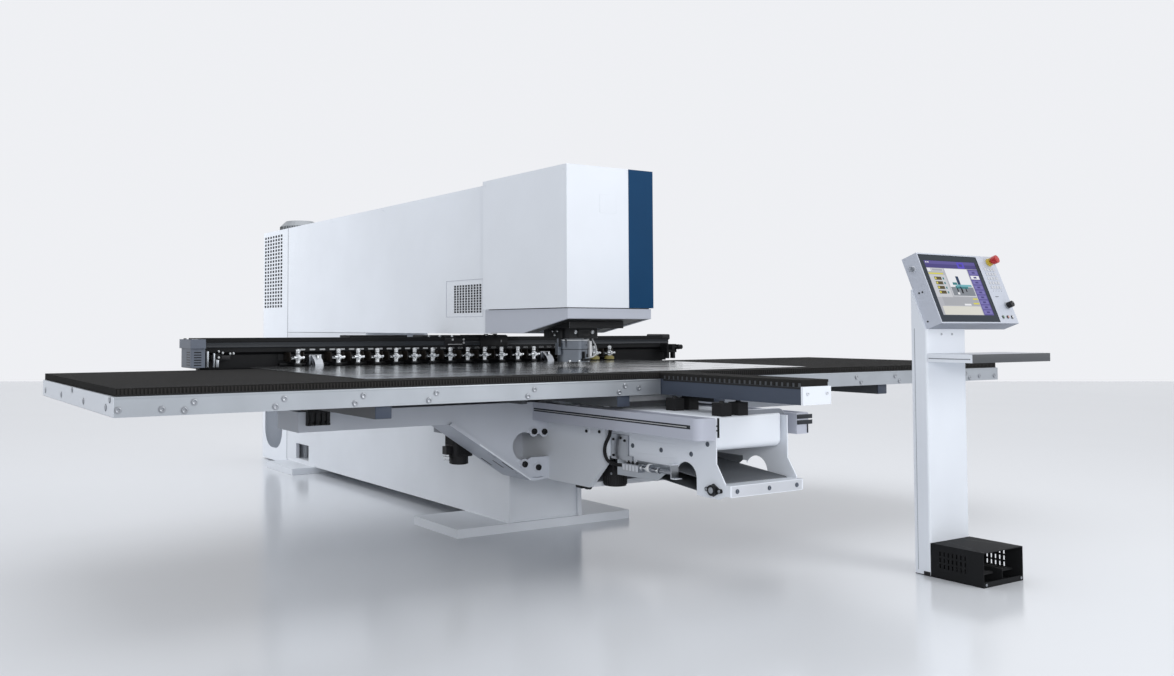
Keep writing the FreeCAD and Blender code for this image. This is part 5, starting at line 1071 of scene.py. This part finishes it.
# ---------------------------------------------------------------- frame and outriggers
@dataclass
class FrameDress:
    """Weld beads, screws and pads of the frame and its outriggers."""

    half_width: float = 0.236
    foot_top: float = 0.046
    base_front: float = 0.237
    outrigger_front: float = -0.110
    slope: float = 0.5707
    carriage_x: float = 1.470

    def weld(self, span: Span, facing: Facing) -> Piece:
        """Fillet weld bead: a bar whose upper face is drawn in towards the plate."""
        bead = block("weld", *span)
        with faces_picked(bead, toward(Facing.UP)):
            bpy.ops.transform.translate(value=tuple(-facing.vector * 0.003))
        return bevel(bead, 0.0015)

    def welds(self) -> None:
        """Beads where the side plates and the front web stand on the floor plates."""
        front, x, z = self.base_front, (self.half_width - 0.001, self.half_width + 0.006), (
            self.foot_top - 0.001, self.foot_top + 0.007)
        beads = [self.weld(on_side(side, x, y, z), facing) for side, facing in SIDES.items()
                 for y in ((front + 0.002, 0.676), (2.780, 3.296))]
        beads.append(self.weld(((-0.208, front + 0.007, z[0]), (0.208, front + 0.015, z[1])), Facing.FRONT))
        seat(join("weld_beads", beads), FRAME_GREY)

    def pads(self) -> None:
        """Machined pads with the big socket screws on both outriggers."""
        spots = [(x, self.outrigger_front, z)
                 for x, z in ((-0.325, 0.556), (-0.264, 0.552), (-0.381, 0.400), (-0.300, 0.380))]
        for name, places in (("left", spots), ("right", mirrored(spots))):
            pads = [bevel(bar("pad", 0.026, (x, y - 0.001, z), 0.004, Axis.Y, 32), 0.0008, 1) for x, y, z in places]
            seat(join(f"{name}_pads", pads), OUTRIGGER_SHADE_GREY)
            Heads(f"{name}_pad_screws", [(x, y - 0.003, z) for x, y, z in places], Facing.FRONT, BLACK_SATIN, "frame",
                  0.0150, 0.011).build()

    def gusset(self) -> None:
        """White rim, and thin dark patches that paint the shade of slots, along the sloped lower flange of both
        outriggers.
        """
        for side, facing in SIDES.items():
            name, x = facing.name.lower(), side * 0.577
            rim = rounded_block(f"{name}_flange_rim", (x - 0.174, -0.1295, 0.4630), (x + 0.174, -0.1240, 0.4700))
            turn_about(rim, at_punch((x, 0.0, 0.465)), -side * self.slope, Axis.Y)
            rim.data.transform(Matrix.Translation((-side * 0.075, 0.0, -0.048)))
            seat(rim, CASING_WHITE)
            x = side * 0.470
            # Thin dark patches where slots would open: painted shade, nothing is cut through.
            slot = rounded_block("slot", (x - 0.036, -0.0200, 0.3955), (x + 0.036, -0.0080, 0.3975), 0.0005, 1)
            turn_about(slot, at_punch((x, 0.0, 0.3965)), -side * self.slope, Axis.Y)
            seat(join(f"{name}_flange_slots", copies(slot, [(0.0, 0.105, 0.0), (0.0, -0.086, 0.0)])), DARK_CAST)

    def nose(self) -> None:
        """Screws with pale pads on the lower arm's nose and the fitting below it."""
        places = [(-self.half_width, -0.419, 0.579), (-self.half_width, -0.515, 0.584)]
        bosses = [bevel(bar("boss", 0.014, (x - 0.0005, y, z), 0.003, Axis.X), 0.0006, 1) for x, y, z in places]
        seat(join("nose_bosses", bosses), FRAME_GREY)
        Heads("nose_screws", [(x - 0.002, y, z) for x, y, z in places], Facing.LEFT, BLACK_SATIN, "frame", 0.0075,
              0.005).build()
        blocks("under_fitting", BLACK_SATIN, [((-0.186, -0.312, 0.292), (-0.134, -0.262, 0.3185))], 0.004)
        stacks("under_union", DARK_CAST, [(0.016, 0.014), (0.011, 0.012), (0.014, 0.006)], [(-0.160, -0.312, 0.304)],
               Facing.FRONT, 20, 0.001)

    def carriages(self) -> None:
        """Studs and feet of the outer guide carriages, and the small carriages on the inner channel."""
        for side, facing in SIDES.items():
            name, middle = f"{facing.name.lower()}_carriage", side * self.carriage_x
            xs = [middle + dx for dx in (-0.038, -0.014, 0.014, 0.038)]
            stacks(f"{name}_studs", DARK_CAST, [(0.0075, 0.008), (0.0045, 0.026), (0.0062, 0.012)],
                   [(x, -0.140, 0.652) for x in xs], Facing.UP, 14)
            blocks(f"{name}_feet", BLACK_SATIN, [((x - 0.009, -0.150, 0.643), (x + 0.009, -0.133, 0.653)) for x in xs],
                   0.0015)
            blocks(f"{name}_lip", BLACK_PLASTIC, [((middle - 0.050, -0.1385, 0.692), (middle + 0.050, -0.133, 0.708))],
                   0.0015)
        runners = [rounded_block("runner", (-0.309, y, 0.6990), (-0.252, y + 0.054, 0.7135), 0.003)
                   for y in (-0.392, -0.300)]
        for runner in runners:
            inset_and_push(runner, toward(Facing.LEFT), 0.003, -0.001)
        seat(join("inner_runners", runners), SATIN_ALUMINIUM)
        heads = [(x, y, 0.7135) for x in (-0.296, -0.266) for y in (-0.378, -0.352, -0.286, -0.260)]
        Heads("runner_screws", heads, Facing.UP, BLACK_SATIN, "frame", 0.0045, 0.0008).build()

    def channel_ends(self) -> None:
        """Screws, seam, end buffer, flat dark strips of painted groove shade, and end strips of the two guide channels.
        """
        Heads("channel_end_screws", [(-0.230, -1.2502, z) for z in (0.668, 0.650)], Facing.FRONT, BLACK_SATIN, "frame",
              0.0035, 0.0015).build()
        blocks("channel_seam", DARK_CAST, [((-0.2175, -1.2505, 0.620), (-0.2145, -1.2400, 0.6995))], 0.0005, 1)
        blocks("channel_stop", BLACK_SATIN, [((-0.290, -1.196, 0.6560), (-0.262, -1.150, 0.6720))], 0.004)
        # Flat near-black strips where the grooves run: painted shade of the grooves.
        blocks("channel_grooves", STRIP_GREY, [on_side(side, (0.3294, 0.3308), (-1.205, -0.120), (0.6560, 0.6720))
                                               for side in SIDES], 0.0005, 1)
        blocks("channel_ridges", SLOT_GREY, [on_side(side, (0.3300, 0.3325), (-1.185, -0.120), (0.6620, 0.6655))
                                             for side in SIDES], 0.0008)
        blocks("right_channel_strips", STRIP_GREY, [((0.238, -1.2535, z), (0.330, -1.2495, z + 0.018))
                                                    for z in (0.676, 0.652)])
        blocks("right_channel_post", DARK_CAST, [((0.2995, -1.2540, 0.615), (0.3035, -1.2490, 0.652))], 0.0008)

    def build(self) -> None:
        """Builds everything on the frame."""
        self.welds()
        self.pads()
        self.gusset()
        self.nose()
        self.carriages()
        self.channel_ends()


@dataclass
class MotorDress:
    """Cooling fins, flange and plugs of one square motor, and of the round one beside it."""

    drive: Pair = (-0.560, 0.210)
    belt: Pair = (-0.140, -0.505)

    def drive_fins(self) -> None:
        """Fins, flange, plugs, cap and bracket of the table drive motor."""
        x, y = self.drive
        steps = [0.0100 * i for i in range(8)]
        fins = [((x - 0.0400 + d, y - 0.0595, 0.4280), (x - 0.0345 + d, y - 0.0540, 0.5860)) for d in steps]
        fins += [((x - 0.0595, y - 0.0400 + d, 0.4780), (x - 0.0540, y - 0.0345 + d, 0.5860)) for d in steps]
        blocks("drive_motor_fins", BLACK_PLASTIC, fins, 0.0012, 1)
        blocks("drive_motor_flange", DARK_CAST, [((x - 0.060, y - 0.060, 0.5880), (x + 0.060, y + 0.060, 0.5995))],
               0.002)
        heads = [(x + dx, y + dy, 0.5880) for dx in (-0.050, 0.050) for dy in (-0.050, 0.050)]
        Heads("drive_flange_screws", heads, Facing.DOWN, GROUND_STEEL, "frame", 0.006, 0.005).build()
        stacks("drive_plugs", PIN_SILVER, [(0.0100, 0.010), (0.0120, 0.014), (0.0080, 0.008)],
               [(x - 0.070, y + dy, 0.4305) for dy in (-0.010, 0.014)], Facing.DOWN, 18, 0.001)
        stacks("drive_cap", BLACK_PLASTIC, [(0.0485, 0.004), (0.040, 0.003)], [(x, y, 0.3852)], Facing.DOWN, 40, 0.001)
        panel("drive_bracket", SLATE_GREY, (x - 0.140, y - 0.070, 0.5440), (x - 0.062, y + 0.010, 0.6110),
              Facing.FRONT, 0.004, -0.0015, 0.003)

    def belt_fins(self) -> None:
        """Fins round the conveyor motor's can, its lid and its gear's screws."""
        x, y = self.belt
        fin = rounded_block("fin", (x + 0.0500, y - 0.0020, 0.3380), (x + 0.0560, y + 0.0020, 0.3765), 0.0008, 1)
        seat(join("belt_motor_fins", turned_copies(fin, at_punch((x, y, 0.356)), 28)), BLACK_PLASTIC)
        stacks("belt_motor_lid", BLACK_PLASTIC, [(0.053, 0.003), (0.044, 0.002)], [(x, y, 0.3345)], Facing.DOWN, 40,
               0.001)
        heads = [(x - 0.050, y + dy, z) for dy in (-0.036, 0.036) for z in (0.392, 0.436)]
        Heads("belt_gear_screws", heads, Facing.LEFT, GROUND_STEEL, "frame", 0.006, 0.003).build()

    def build(self) -> None:
        """Builds both motors' details."""
        self.drive_fins()
        self.belt_fins()


# ---------------------------------------------------------------- conveyor
@dataclass
class ConveyorDress:
    """Screws, trims and small gear of the part conveyor."""

    side: float = -0.210
    bar_front: float = -1.302
    hood_low: Point = (-0.204, -1.210, 0.560)
    hood_high: Point = (0.204, -0.640, 0.700)

    def screws(self) -> None:
        """Cover of the front bar, and the screws of the bar, the side plates and the valve plate."""
        blocks("bar_cover", PALE_ALUMINIUM, [((-0.203, self.bar_front - 0.0002, 0.389),
                                              (0.203, self.bar_front + 0.0015, 0.431))], 0.0006, 1)
        front = [(x, self.bar_front, 0.410) for x in (-0.172, 0.010, 0.172)]
        Heads("bar_screws", front, Facing.FRONT, BOLT_BLUE, "frame", 0.0080, 0.004, 0.0100).build()
        left = [(self.side, y, z) for y, z in ((-0.714, 0.538), (-0.900, 0.537), (-1.083, 0.538), (-1.178, 0.588))]
        Heads("side_screws", left, Facing.LEFT, BOLT_BLUE, "frame", 0.0080, 0.004, 0.0105).build()
        Heads("side_screws_right", mirrored(left), Facing.RIGHT, BOLT_BLUE, "frame", 0.0080, 0.004, 0.0105).build()
        plate = [(-0.218, y, z) for y, z in ((-0.590, 0.556), (-0.640, 0.566), (-0.668, 0.556), (-0.590, 0.484))]
        Heads("valve_plate_screws", plate, Facing.LEFT, BLACK_SATIN, "frame", 0.0060, 0.004).build()

    def bearing_trim(self) -> None:
        """Lids, shaft ends and screws of the flange bearings."""
        y, z = -1.213, 0.407
        for side, facing in SIDES.items():
            name, centre = facing.name.lower(), [(side * 0.2280, y, z)]
            stacks(f"{name}_bearing_lid", DARK_CAST, [(0.0215, 0.0025), (0.0150, -0.0015)], centre, facing)
            stacks(f"{name}_shaft_end", GROUND_STEEL, [(0.0125, 0.0032), (0.0080, 0.0010)], centre, facing, 28, 0.0005)
            heads = [(side * 0.2180, y + dy, z) for dy in (-0.036, 0.036)]
            Heads(f"{name}_bearing_screws", heads, facing, GROUND_STEEL, "frame", 0.0065, 0.004).build()

    def hood(self) -> None:
        """Moulded hood with rounded corners, hollow below, and the raised collar behind it, with a thin slate-grey
        plate of painted shade on the collar's front face.
        """
        shell = block("hood_shell", self.hood_low, self.hood_high)
        near = 0.001
        front, back = self.hood_low[1] + PUNCH_Y + near, self.hood_high[1] + PUNCH_Y - near
        foot, top = self.hood_low[2] + near, self.hood_high[2] - near
        round_edges(shell, lambda a, b: a.y < front and b.y < front and abs(a.z - b.z) > 0.1, 0.038, 8)
        round_edges(shell, lambda a, b: a.z < foot and b.z < foot and min(a.y, b.y) < back, 0.030, 6)
        round_edges(shell, lambda a, b: a.z > top and b.z > top and min(a.y, b.y) < back, 0.008, 3)
        inset_and_push(shell, toward(Facing.DOWN), 0.006, -0.120)
        seat(smooth(shell), CASING_WHITE)
        collar = block("hood_collar", (0.001, -1.188, 0.588), (0.235, -1.170, 0.720))
        # Slate-grey plate on the white collar's front face: painted shade.
        face = block("collar_face", (0.012, -1.1895, 0.590), (0.2335, -1.1875, 0.7185))
        for piece, finish in ((collar, CASING_WHITE), (face, SLATE_GREY)):
            round_edges(piece, lambda a, b: min(a.x, b.x) > 0.23 and min(a.z, b.z) > 0.71, 0.040, 8)
            seat(bevel(piece, 0.0005, 1), finish)
        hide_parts("conveyor_hood")
        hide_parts("conveyor_hood")
        blocks("side_folds", CASING_WHITE, [((self.side - 0.0012, -0.995, z), (self.side + 0.001, -0.700, z + 0.0035))
                                            for z in (0.508, 0.566)], 0.0006, 1)

    def valve_gear(self) -> None:
        """Bellows, rings, caps and ribs of the valve unit on the left side, and its bracket's folds."""
        x, beads = -0.236, []
        for i in range(11):
            clear_selection()
            bpy.ops.mesh.primitive_uv_sphere_add(segments=14, ring_count=8, radius=0.0085,
                                                 location=at_punch((x, -0.926 - 0.0072 * i, 0.452)))
            bead = settle(bpy.context.active_object)
            with faces_picked(bead, lambda _centre, normal: abs(normal.y) > 0.8):
                bpy.ops.transform.resize(value=(1.0, 0.7, 1.0))
            beads.append(bead)
        seat(smooth(join("bellows", beads), 1.2), GROUND_STEEL)
        stacks("cylinder_rings", MIRROR_STEEL, [(0.0140, 0.010), (0.0125, 0.003)],
               [(x, y, 0.452) for y in (-0.801, -0.832, -0.905)], Facing.FRONT, 20, 0.001)
        stacks("white_ring", WHITE_PLASTIC, [(0.0182, 0.016), (0.0150, 0.003)], [(x, -0.850, 0.456)], Facing.FRONT, 28,
               0.0012)
        stacks("valve_caps", BLACK_PLASTIC, [(0.0070, 0.006), (0.0045, 0.006)],
               [(x, y, 0.4620) for y in (-0.716, -0.744, -0.772)], Facing.UP, 16)
        blocks("valve_ribs", PALE_ALUMINIUM, [((-0.2556, -0.798 + 0.022 * i, 0.4330),
                                               (-0.2536, -0.784 + 0.022 * i, 0.4590)) for i in range(5)], 0.0006, 1)
        blocks("bracket_folds", CASING_WHITE, [((-0.2505, -1.0280, 0.4280), (-0.2095, -1.0000, 0.4310)),
                                               ((-0.2505, -1.0065, 0.4850), (-0.2095, -0.9800, 0.4880))])

    def buffer_tops(self) -> None:
        """Moulded ribs and washers of the rubber buffers."""
        half = 0.0288
        spots = [(x, y) for y, xs in ((-1.180, (-0.131, -0.036)), (-0.860, (-0.092, -0.006))) for x in xs]
        blocks("buffer_ribs", RUBBER, [((x - half, y - half, z), (x + half, y + half, z + 0.004))
                                       for x, y in spots for z in (0.706, 0.745)])
        stacks("buffer_washers", BLACK_SATIN, [(0.0150, 0.002), (0.0105, 0.005)], [(x, y, 0.7540) for x, y in spots],
               Facing.UP, 20)

    def build(self) -> None:
        """Builds everything on the conveyor."""
        self.screws()
        self.bearing_trim()
        self.hood()
        self.valve_gear()
        self.buffer_tops()


# ---------------------------------------------------------------- console
@dataclass(frozen=True)
class Tile:
    """One coloured field of the display, in millimetres on the housing's face."""

    x: Pair
    z: Pair
    level: int
    glow: Glow


PAGE: tuple[Tile, ...] = (
    Tile((34.5, 403.5), (38.5, 296.5), 0, UI_GREY), Tile((34.5, 403.5), (281, 296.5), 1, UI_VIOLET),
    Tile((34.5, 403.5), (262, 281), 1, UI_DEEP_VIOLET), Tile((266, 316), (264, 293), 2, UI_BRIGHT_VIOLET),
    Tile((279, 303), (272, 285), 3, UI_DEEP_VIOLET), Tile((44, 52), (286, 292), 2, UI_WHITE),
    Tile((58, 66), (286, 292), 2, UI_WHITE), Tile((38, 60), (245, 260), 2, UI_WHITE),
    Tile((64, 150), (245, 260), 2, UI_PALE), Tile((72, 142), (248, 257), 3, UI_MID),
    Tile((38, 140), (231, 238), 2, UI_YELLOW), Tile((38, 150), (122, 228), 1, UI_PALE),
    Tile((160, 324), (128, 260), 1, UI_WHITE), Tile((162, 322), (130, 172), 2, UI_STEEL),
    Tile((220, 240), (176, 224), 3, UI_NAVY), Tile((224, 236), (166, 182), 4, UI_NAVY),
    Tile((196, 286), (164, 178), 3, UI_TEAL), Tile((206, 316), (174, 184), 4, UI_CYAN),
    Tile((184, 216), (182, 194), 3, UI_TEAL), Tile((228, 240), (142, 166), 4, UI_BLACK),
    Tile((262, 270), (150, 166), 4, UI_BLACK), Tile((200, 208), (150, 166), 4, UI_BLACK),
    Tile((196, 210), (136, 146), 4, UI_WHITE), Tile((70, 324), (84, 124), 1, UI_MID),
    Tile((290, 324), (112, 119), 2, UI_YELLOW), Tile((282, 324), (90, 97), 2, UI_YELLOW),
    Tile((214, 262), (84, 92), 2, UI_WHITE), Tile((50, 324), (40, 80), 1, UI_CREAM),
    Tile((330, 403.5), (38.5, 260), 1, UI_VIOLET),
)


@dataclass
class ConsoleDress:
    """Display, keypad, lamps, shelf and pedal box of the operator console."""

    foot: Point = (0.778, -1.568, 1.083)
    tilt_deg: float = 21.06
    window_y: float = 1.0
    tile_step: float = 0.11
    front: float = -1.503

    def on_housing(self, piece: Piece) -> Piece:
        """Moves a piece drawn about the row origin onto the tilted housing."""
        turn = Matrix.Rotation(math.radians(-self.tilt_deg), 4, "X")
        back = Matrix.Translation((0.0, -PUNCH_Y, 0.0))
        piece.data.transform(Matrix.Translation(at_punch(self.foot)) @ turn @ back)
        return piece

    def plate(self, name: str, x: Pair, y: Pair, z: Pair, edge: float = 0.2) -> Piece:
        """Plate on the housing, sizes in millimetres."""
        low, high = (tuple(span[end] / 1000.0 for span in (x, y, z)) for end in (0, 1))
        return self.on_housing(rounded_block(name, low, high, edge / 1000.0, 1))

    def turned(self, name: str, finish: Finish, steps: Sequence[Pair], places: Iterable[Point], facing: Facing,
               sides: int, edge: float, body: str = "frame") -> None:
        """Turned pieces on the housing, seated as one piece."""
        seat(join(name, [self.on_housing(turned_stack(name, steps, place, facing, sides, edge)) for place in places]),
             finish, body)

    def tiles(self) -> list[Tile]:
        """The generic page on the display, with its two lists."""
        page = list(PAGE)
        for z in (204 - 22 * row for row in range(4)):
            page += [Tile((66, 116), (z, z + 15), 2, UI_BROWN), Tile((69, 80), (z + 3, z + 12), 3, UI_YELLOW),
                     Tile((124, 134), (z + 2, z + 12), 2, UI_TEAL)]
        for row in range(9):
            z = 236 - 24 * row
            page += [Tile((336, 398), (z, z + 18), 2, UI_WHITE if row == 1 else UI_LILAC),
                     Tile((356, 378), (z + 5, z + 13), 3, UI_DEEP_VIOLET)]
        return page

    def display(self) -> None:
        """Lays the page into the bezel's window, one object for each colour."""
        by_glow: dict[Glow, list[Piece]] = {}
        for tile in self.tiles():
            outer = self.window_y - self.tile_step * (tile.level + 1)
            by_glow.setdefault(tile.glow, []).append(
                self.plate("tile", tile.x, (outer, self.window_y), tile.z, 0.04))
        for glow, pieces in by_glow.items():
            seat(join(f"display_{glow.name}", pieces), glow)

    def keypad(self) -> None:
        """Key caps and lamps, a grey plate of painted shade under the housing, emergency stop, knob, buttons, key
        collar, side screws and bezel.
        """
        caps = [self.plate("key", (x, x + 13.4), (-1.9, -1.0), (z, z + 13.4), 0.35)
                for z in (168.8 + 22 * row for row in range(5)) for x in (460.8 + 21 * column for column in range(4))]
        seat(join("key_caps", caps), KEY_GREY)
        lamps = [self.plate("lamp", (466 + 21 * c, 469 + 21 * c), (-0.6, 0.4), (156, 158.5), 0.15) for c in range(4)]
        lamps.append(self.plate("lamp", (466, 490), (-0.5, 0.4), (128, 131), 0.15))
        seat(join("key_lamps", lamps), STRIP_GREY)
        # Thin grey plate on the housing's underside: painted shade, not a real cover.
        seat(self.plate("under_cover", (1.0, 567.0), (1.0, 76.0), (-0.8, 0.2)), UNDER_SHADE_GREY)
        front = Facing.FRONT
        self.turned("e_stop_ring", SIGNAL_YELLOW, [(0.0190, 0.004), (0.0180, 0.0085)], [(0.516, 0.0, 0.300)], front,
                    36, 0.0006)
        self.turned("e_stop_face", SIGNAL_RED, [(0.0165, 0.0015), (0.0100, 0.0010)], [(0.516, -0.0440, 0.300)], front,
                    36, 0.0006, "e_stop")
        self.turned("knob_skirt", GROUND_STEEL, [(0.0172, 0.003), (0.0152, 0.002)], [(0.530, 0.0, 0.086)], front, 36,
                    0.0005)
        seat(self.plate("knob_line", (529.3, 530.7), (-30.2, -28.0), (88, 99)), WHITE_PLASTIC, "knob")
        buttons = ((0.464, "start", LAMP_GREEN), (0.498, "stop", LAMP_RED), (0.532, "hold", LAMP_WHITE))
        self.turned("button_collars", PIN_SILVER, [(0.0095, 0.0016), (0.0074, -0.0012)],
                    [(x, 0.0, 0.030) for x, _body, _finish in buttons], front, 28, 0.0004)
        for x, body, finish in buttons:
            self.turned(f"{body}_lens", finish, [(0.0058, 0.0010), (0.0046, 0.0006)], [(x, -0.0050, 0.030)], front, 24,
                        0.0003, body)
        self.turned("key_collar", PALE_ALUMINIUM, [(0.0140, 0.0030), (0.0118, 0.0020)], [(0.0, 0.040, 0.268)],
                    Facing.LEFT, 32, 0.0005)
        self.turned("housing_side_screws", BLACK_SATIN, [(0.0042, 0.0012), (0.0022, -0.0008)],
                    [(0.0, y, z) for y, z in ((0.036, 0.158), (0.052, 0.160), (0.060, 0.030))], Facing.LEFT, 16, 0.0003)
        strips = [self.plate("bezel_edge", x, (-0.9, 0.5), z, 0.3) for x, z in (
            ((6.2, 429.8), (6.2, 10)), ((6.2, 429.8), (321, 324.8)), ((6.2, 10), (6.2, 324.8)),
            ((426, 429.8), (6.2, 324.8)))]
        seat(join("bezel_edges", strips), SLATE_GLASS)

    def column_and_shelf(self) -> None:
        """Screws, foot and seams of the column, and the shelf's light top and dark front bar."""
        Heads("column_screws", [(x, self.front, 1.035) for x in (0.869, 0.944)], Facing.FRONT, GROUND_STEEL, "frame",
              0.0055, 0.002).build()
        foot = rounded_block("levelling_foot", (0.764, -1.500, 0.0), (0.7665, -1.470, 0.018), 0.0008)
        base = rounded_block("column_base", (0.7655, -1.5035, 0.0), (1.0435, -1.4285, 0.004))
        seat(join("column_feet", [foot, base]), BLACK_PLASTIC)
        blocks("column_seam", SLATE_GREY, [((0.7652, -1.4445, 0.020), (0.7668, -1.4425, 1.060))], 0.0004, 1)
        shelf_bar = block("shelf_bar", (0.7665, -1.7122, 0.9155), (1.3360, -1.6960, 0.9515))
        with faces_picked(shelf_bar, toward(Facing.RIGHT)):
            bpy.ops.mesh.inset(thickness=0.0, depth=0.0001)
        seat(bevel(shelf_bar, 0.0040, 3), TRAY_GREY)
        blocks("shelf_top", SHELF_GREY, [((0.7680, -1.6950, 0.9505), (1.3220, -1.5045, 0.9520))], 0.0006, 1)
        blocks("shelf_end_line", SLATE_GREY, [((0.7652, -1.6950, 0.9295), (0.7668, -1.5100, 0.9325))], 0.0004, 1)

    def pedals(self) -> None:
        """Crease, screws and treads of the pedal box."""
        crease = block("guard_crease", (0.7665, -1.7415, 0.1410), (1.0425, -1.5035, 0.1424))
        with faces_picked(crease, toward(Facing.UP)):
            bpy.ops.mesh.inset(thickness=0.010, depth=0.0006)
        seat(bevel(crease, 0.0004, 1), MATT_BLACK)
        ridges = [block("guard_ridge", (x, -1.7380, 0.1418), (x + 0.0040, -1.5060, 0.1430)) for x in (0.8600, 0.9460)]
        for ridge, shift in zip(ridges, (-0.088, 0.088)):
            with faces_picked(ridge, toward(Facing.FRONT)):
                bpy.ops.transform.translate(value=(shift, 0.0, 0.0))
        seat(bevel(join("guard_ridges", ridges), 0.0005, 1), BLACK_SATIN)
        Heads("guard_screws", [(x, -1.742, 0.012) for x in (0.782, 1.027)], Facing.FRONT, GROUND_STEEL, "frame", 0.006,
              0.003).build()
        rows = [(y, 0.0480 - 0.0630 * (y + 1.701)) for y in (-1.698 + 0.020 * i for i in range(7))]
        for x, body in ((0.83525, "left_pedal"), (0.97375, "right_pedal")):
            blocks(f"{body}_treads", RUBBER, [((x - 0.046, y, z - 0.002), (x + 0.046, y + 0.009, z + 0.0016))
                                              for y, z in rows], 0.0008, body=body)

    def build(self) -> None:
        """Builds everything on the console."""
        self.display()
        self.keypad()
        self.column_and_shelf()
        self.pedals()


# ---------------------------------------------------------------- studio
@dataclass
class Studio:
    """Floor, light and the camera at the photograph's place."""

    place: Point = (-3.276, -4.310, 1.063)
    heading_deg: float = 31.14
    pitch_deg: float = 2.33
    focal_px: float = 1040.2
    axis_px: Pair = (461.3, 285.4)
    floor_half: float = 22.0
    far_edge: float = 20.7
    floor_colour: tuple[float, float, float, float] = (0.87, 0.89, 0.92, 1.0)

    def camera(self) -> None:
        """Adds the camera."""
        data = bpy.data.cameras.new("camera")
        data.sensor_width = SENSOR_WIDTH
        data.lens = SENSOR_WIDTH * self.focal_px / IMAGE_WIDTH
        data.shift_x = (IMAGE_WIDTH / 2 - self.axis_px[0]) / IMAGE_WIDTH
        data.shift_y = -(IMAGE_HEIGHT / 2 - self.axis_px[1]) / IMAGE_WIDTH
        camera = bpy.data.objects.new("camera", data)
        camera.location = at_punch(self.place)
        camera.rotation_euler = (math.radians(90.0 + self.pitch_deg), 0.0, math.radians(-self.heading_deg))
        bpy.context.scene.collection.objects.link(camera)
        bpy.context.scene.camera = camera

    def floor(self) -> None:
        """Lays the pale glossy floor, its far edge square to the camera's heading."""
        clear_selection()
        heading = math.radians(self.heading_deg)
        reach = self.far_edge - self.floor_half
        x, y, _z = at_punch(self.place)
        bpy.ops.mesh.primitive_plane_add(
            size=2 * self.floor_half, rotation=(0.0, 0.0, -heading),
            location=(x + reach * math.sin(heading), y + reach * math.cos(heading), -0.0005))
        floor = settle(bpy.context.active_object)
        floor.name = "floor"
        material = bpy.data.materials.new("pale_floor")
        material.use_nodes = True
        tree = material.node_tree
        cloud = noise(tree, add(tree, "TexCoord", {}).outputs["Object"], 0.25, 2.0)
        rough = add(tree, "MapRange", {"Value": cloud, "To Min": 0.13, "To Max": 0.19})
        fill(tree, tree.nodes["Principled BSDF"],
             {"Roughness": rough.outputs["Result"], "Base Color": self.floor_colour})
        floor.data.materials.append(material)
        for name, state in (("floor_left_out", "EXCLUDE"), ("floor_only", "INCLUDE")):
            receivers = bpy.data.collections.new(name)
            receivers.objects.link(floor)
            receivers.collection_objects[0].light_linking.link_state = state

    def lamp(self, name: str, place: Point, aim: Point, size: float, power: float, receivers: str = "",
             mirrored_too: bool = True) -> None:
        """Adds one soft square lamp that can be kept to, or off, the floor, and out of mirror images."""
        data = bpy.data.lights.new(name, "AREA")
        data.size = size
        data.energy = power
        lamp = bpy.data.objects.new(name, data)
        lamp.location = place
        lamp.rotation_euler = (Vector(aim) - Vector(place)).to_track_quat("-Z", "Y").to_euler()
        lamp.visible_glossy = mirrored_too
        if receivers:
            lamp.light_linking.receiver_collection = bpy.data.collections[receivers]
        bpy.context.scene.collection.objects.link(lamp)

    def light(self) -> None:
        """Adds the plain soft light and the pale background."""
        world = bpy.data.worlds.new("studio")
        world.use_nodes = True
        bpy.context.scene.world = world
        tree = world.node_tree
        base = fill(tree, tree.nodes["Background"], {"Color": (0.80, 0.83, 0.88, 1.0), "Strength": 0.62})
        seen = add(tree, "Background", {"Color": (0.86, 0.87, 0.90, 1.0), "Strength": 1.0})
        rays = add(tree, "LightPath", {}).outputs
        direct = calc(tree, "MAXIMUM", rays["Is Camera Ray"], rays["Is Glossy Ray"])
        shown = calc(tree, "MAXIMUM", direct, rays["Is Transmission Ray"])
        mix = add(tree, "MixShader", {"Fac": shown, 1: base.outputs["Background"], 2: seen.outputs["Background"]})
        fill(tree, tree.nodes["World Output"], {"Surface": mix.outputs["Shader"]})
        self.lamp("key", (3.4, -6.6, 3.8), (0.0, -0.3, 0.7), 4.0, 165.0, "floor_left_out")
        self.lamp("key_floor", (2.4, -6.9, 3.8), (-1.5, -1.5, 0.0), 4.0, 165.0, "floor_only", False)
        self.lamp("left", (-4.0, 6.0, 2.4), (-0.2, 2.4, 1.3), 3.0, 165.0, "floor_left_out", False)
        self.lamp("top", (0.0, 1.0, 6.5), (0.0, 1.0, 0.0), 8.0, 160.0)
        self.lamp("low", (-3.4, -6.2, 1.75), (0.0, 0.6, 0.1), 2.0, 135.0, "floor_left_out", False)

    def build(self) -> None:
        """Sets the whole studio up."""
        bpy.context.scene.view_settings.view_transform = "Standard"
        self.camera()
        self.floor()
        self.light()


def main() -> None:
    """Builds the looks in order."""
    logging.basicConfig(level=logging.INFO, format="%(message)s")
    Studio().build()
    Cords().build()
    dress_nodes()
    for section in (TableDress(), ExtensionDress(), CarriageDress(), MagazineDress(), ClampDress(), HeadDress(),
                    CasingDress(), FanDress(), FrameDress(), MotorDress(), ConveyorDress(), ConsoleDress()):
        log.info("section %s", type(section).__name__)
        section.build()


if __name__ == "__main__":
    main()
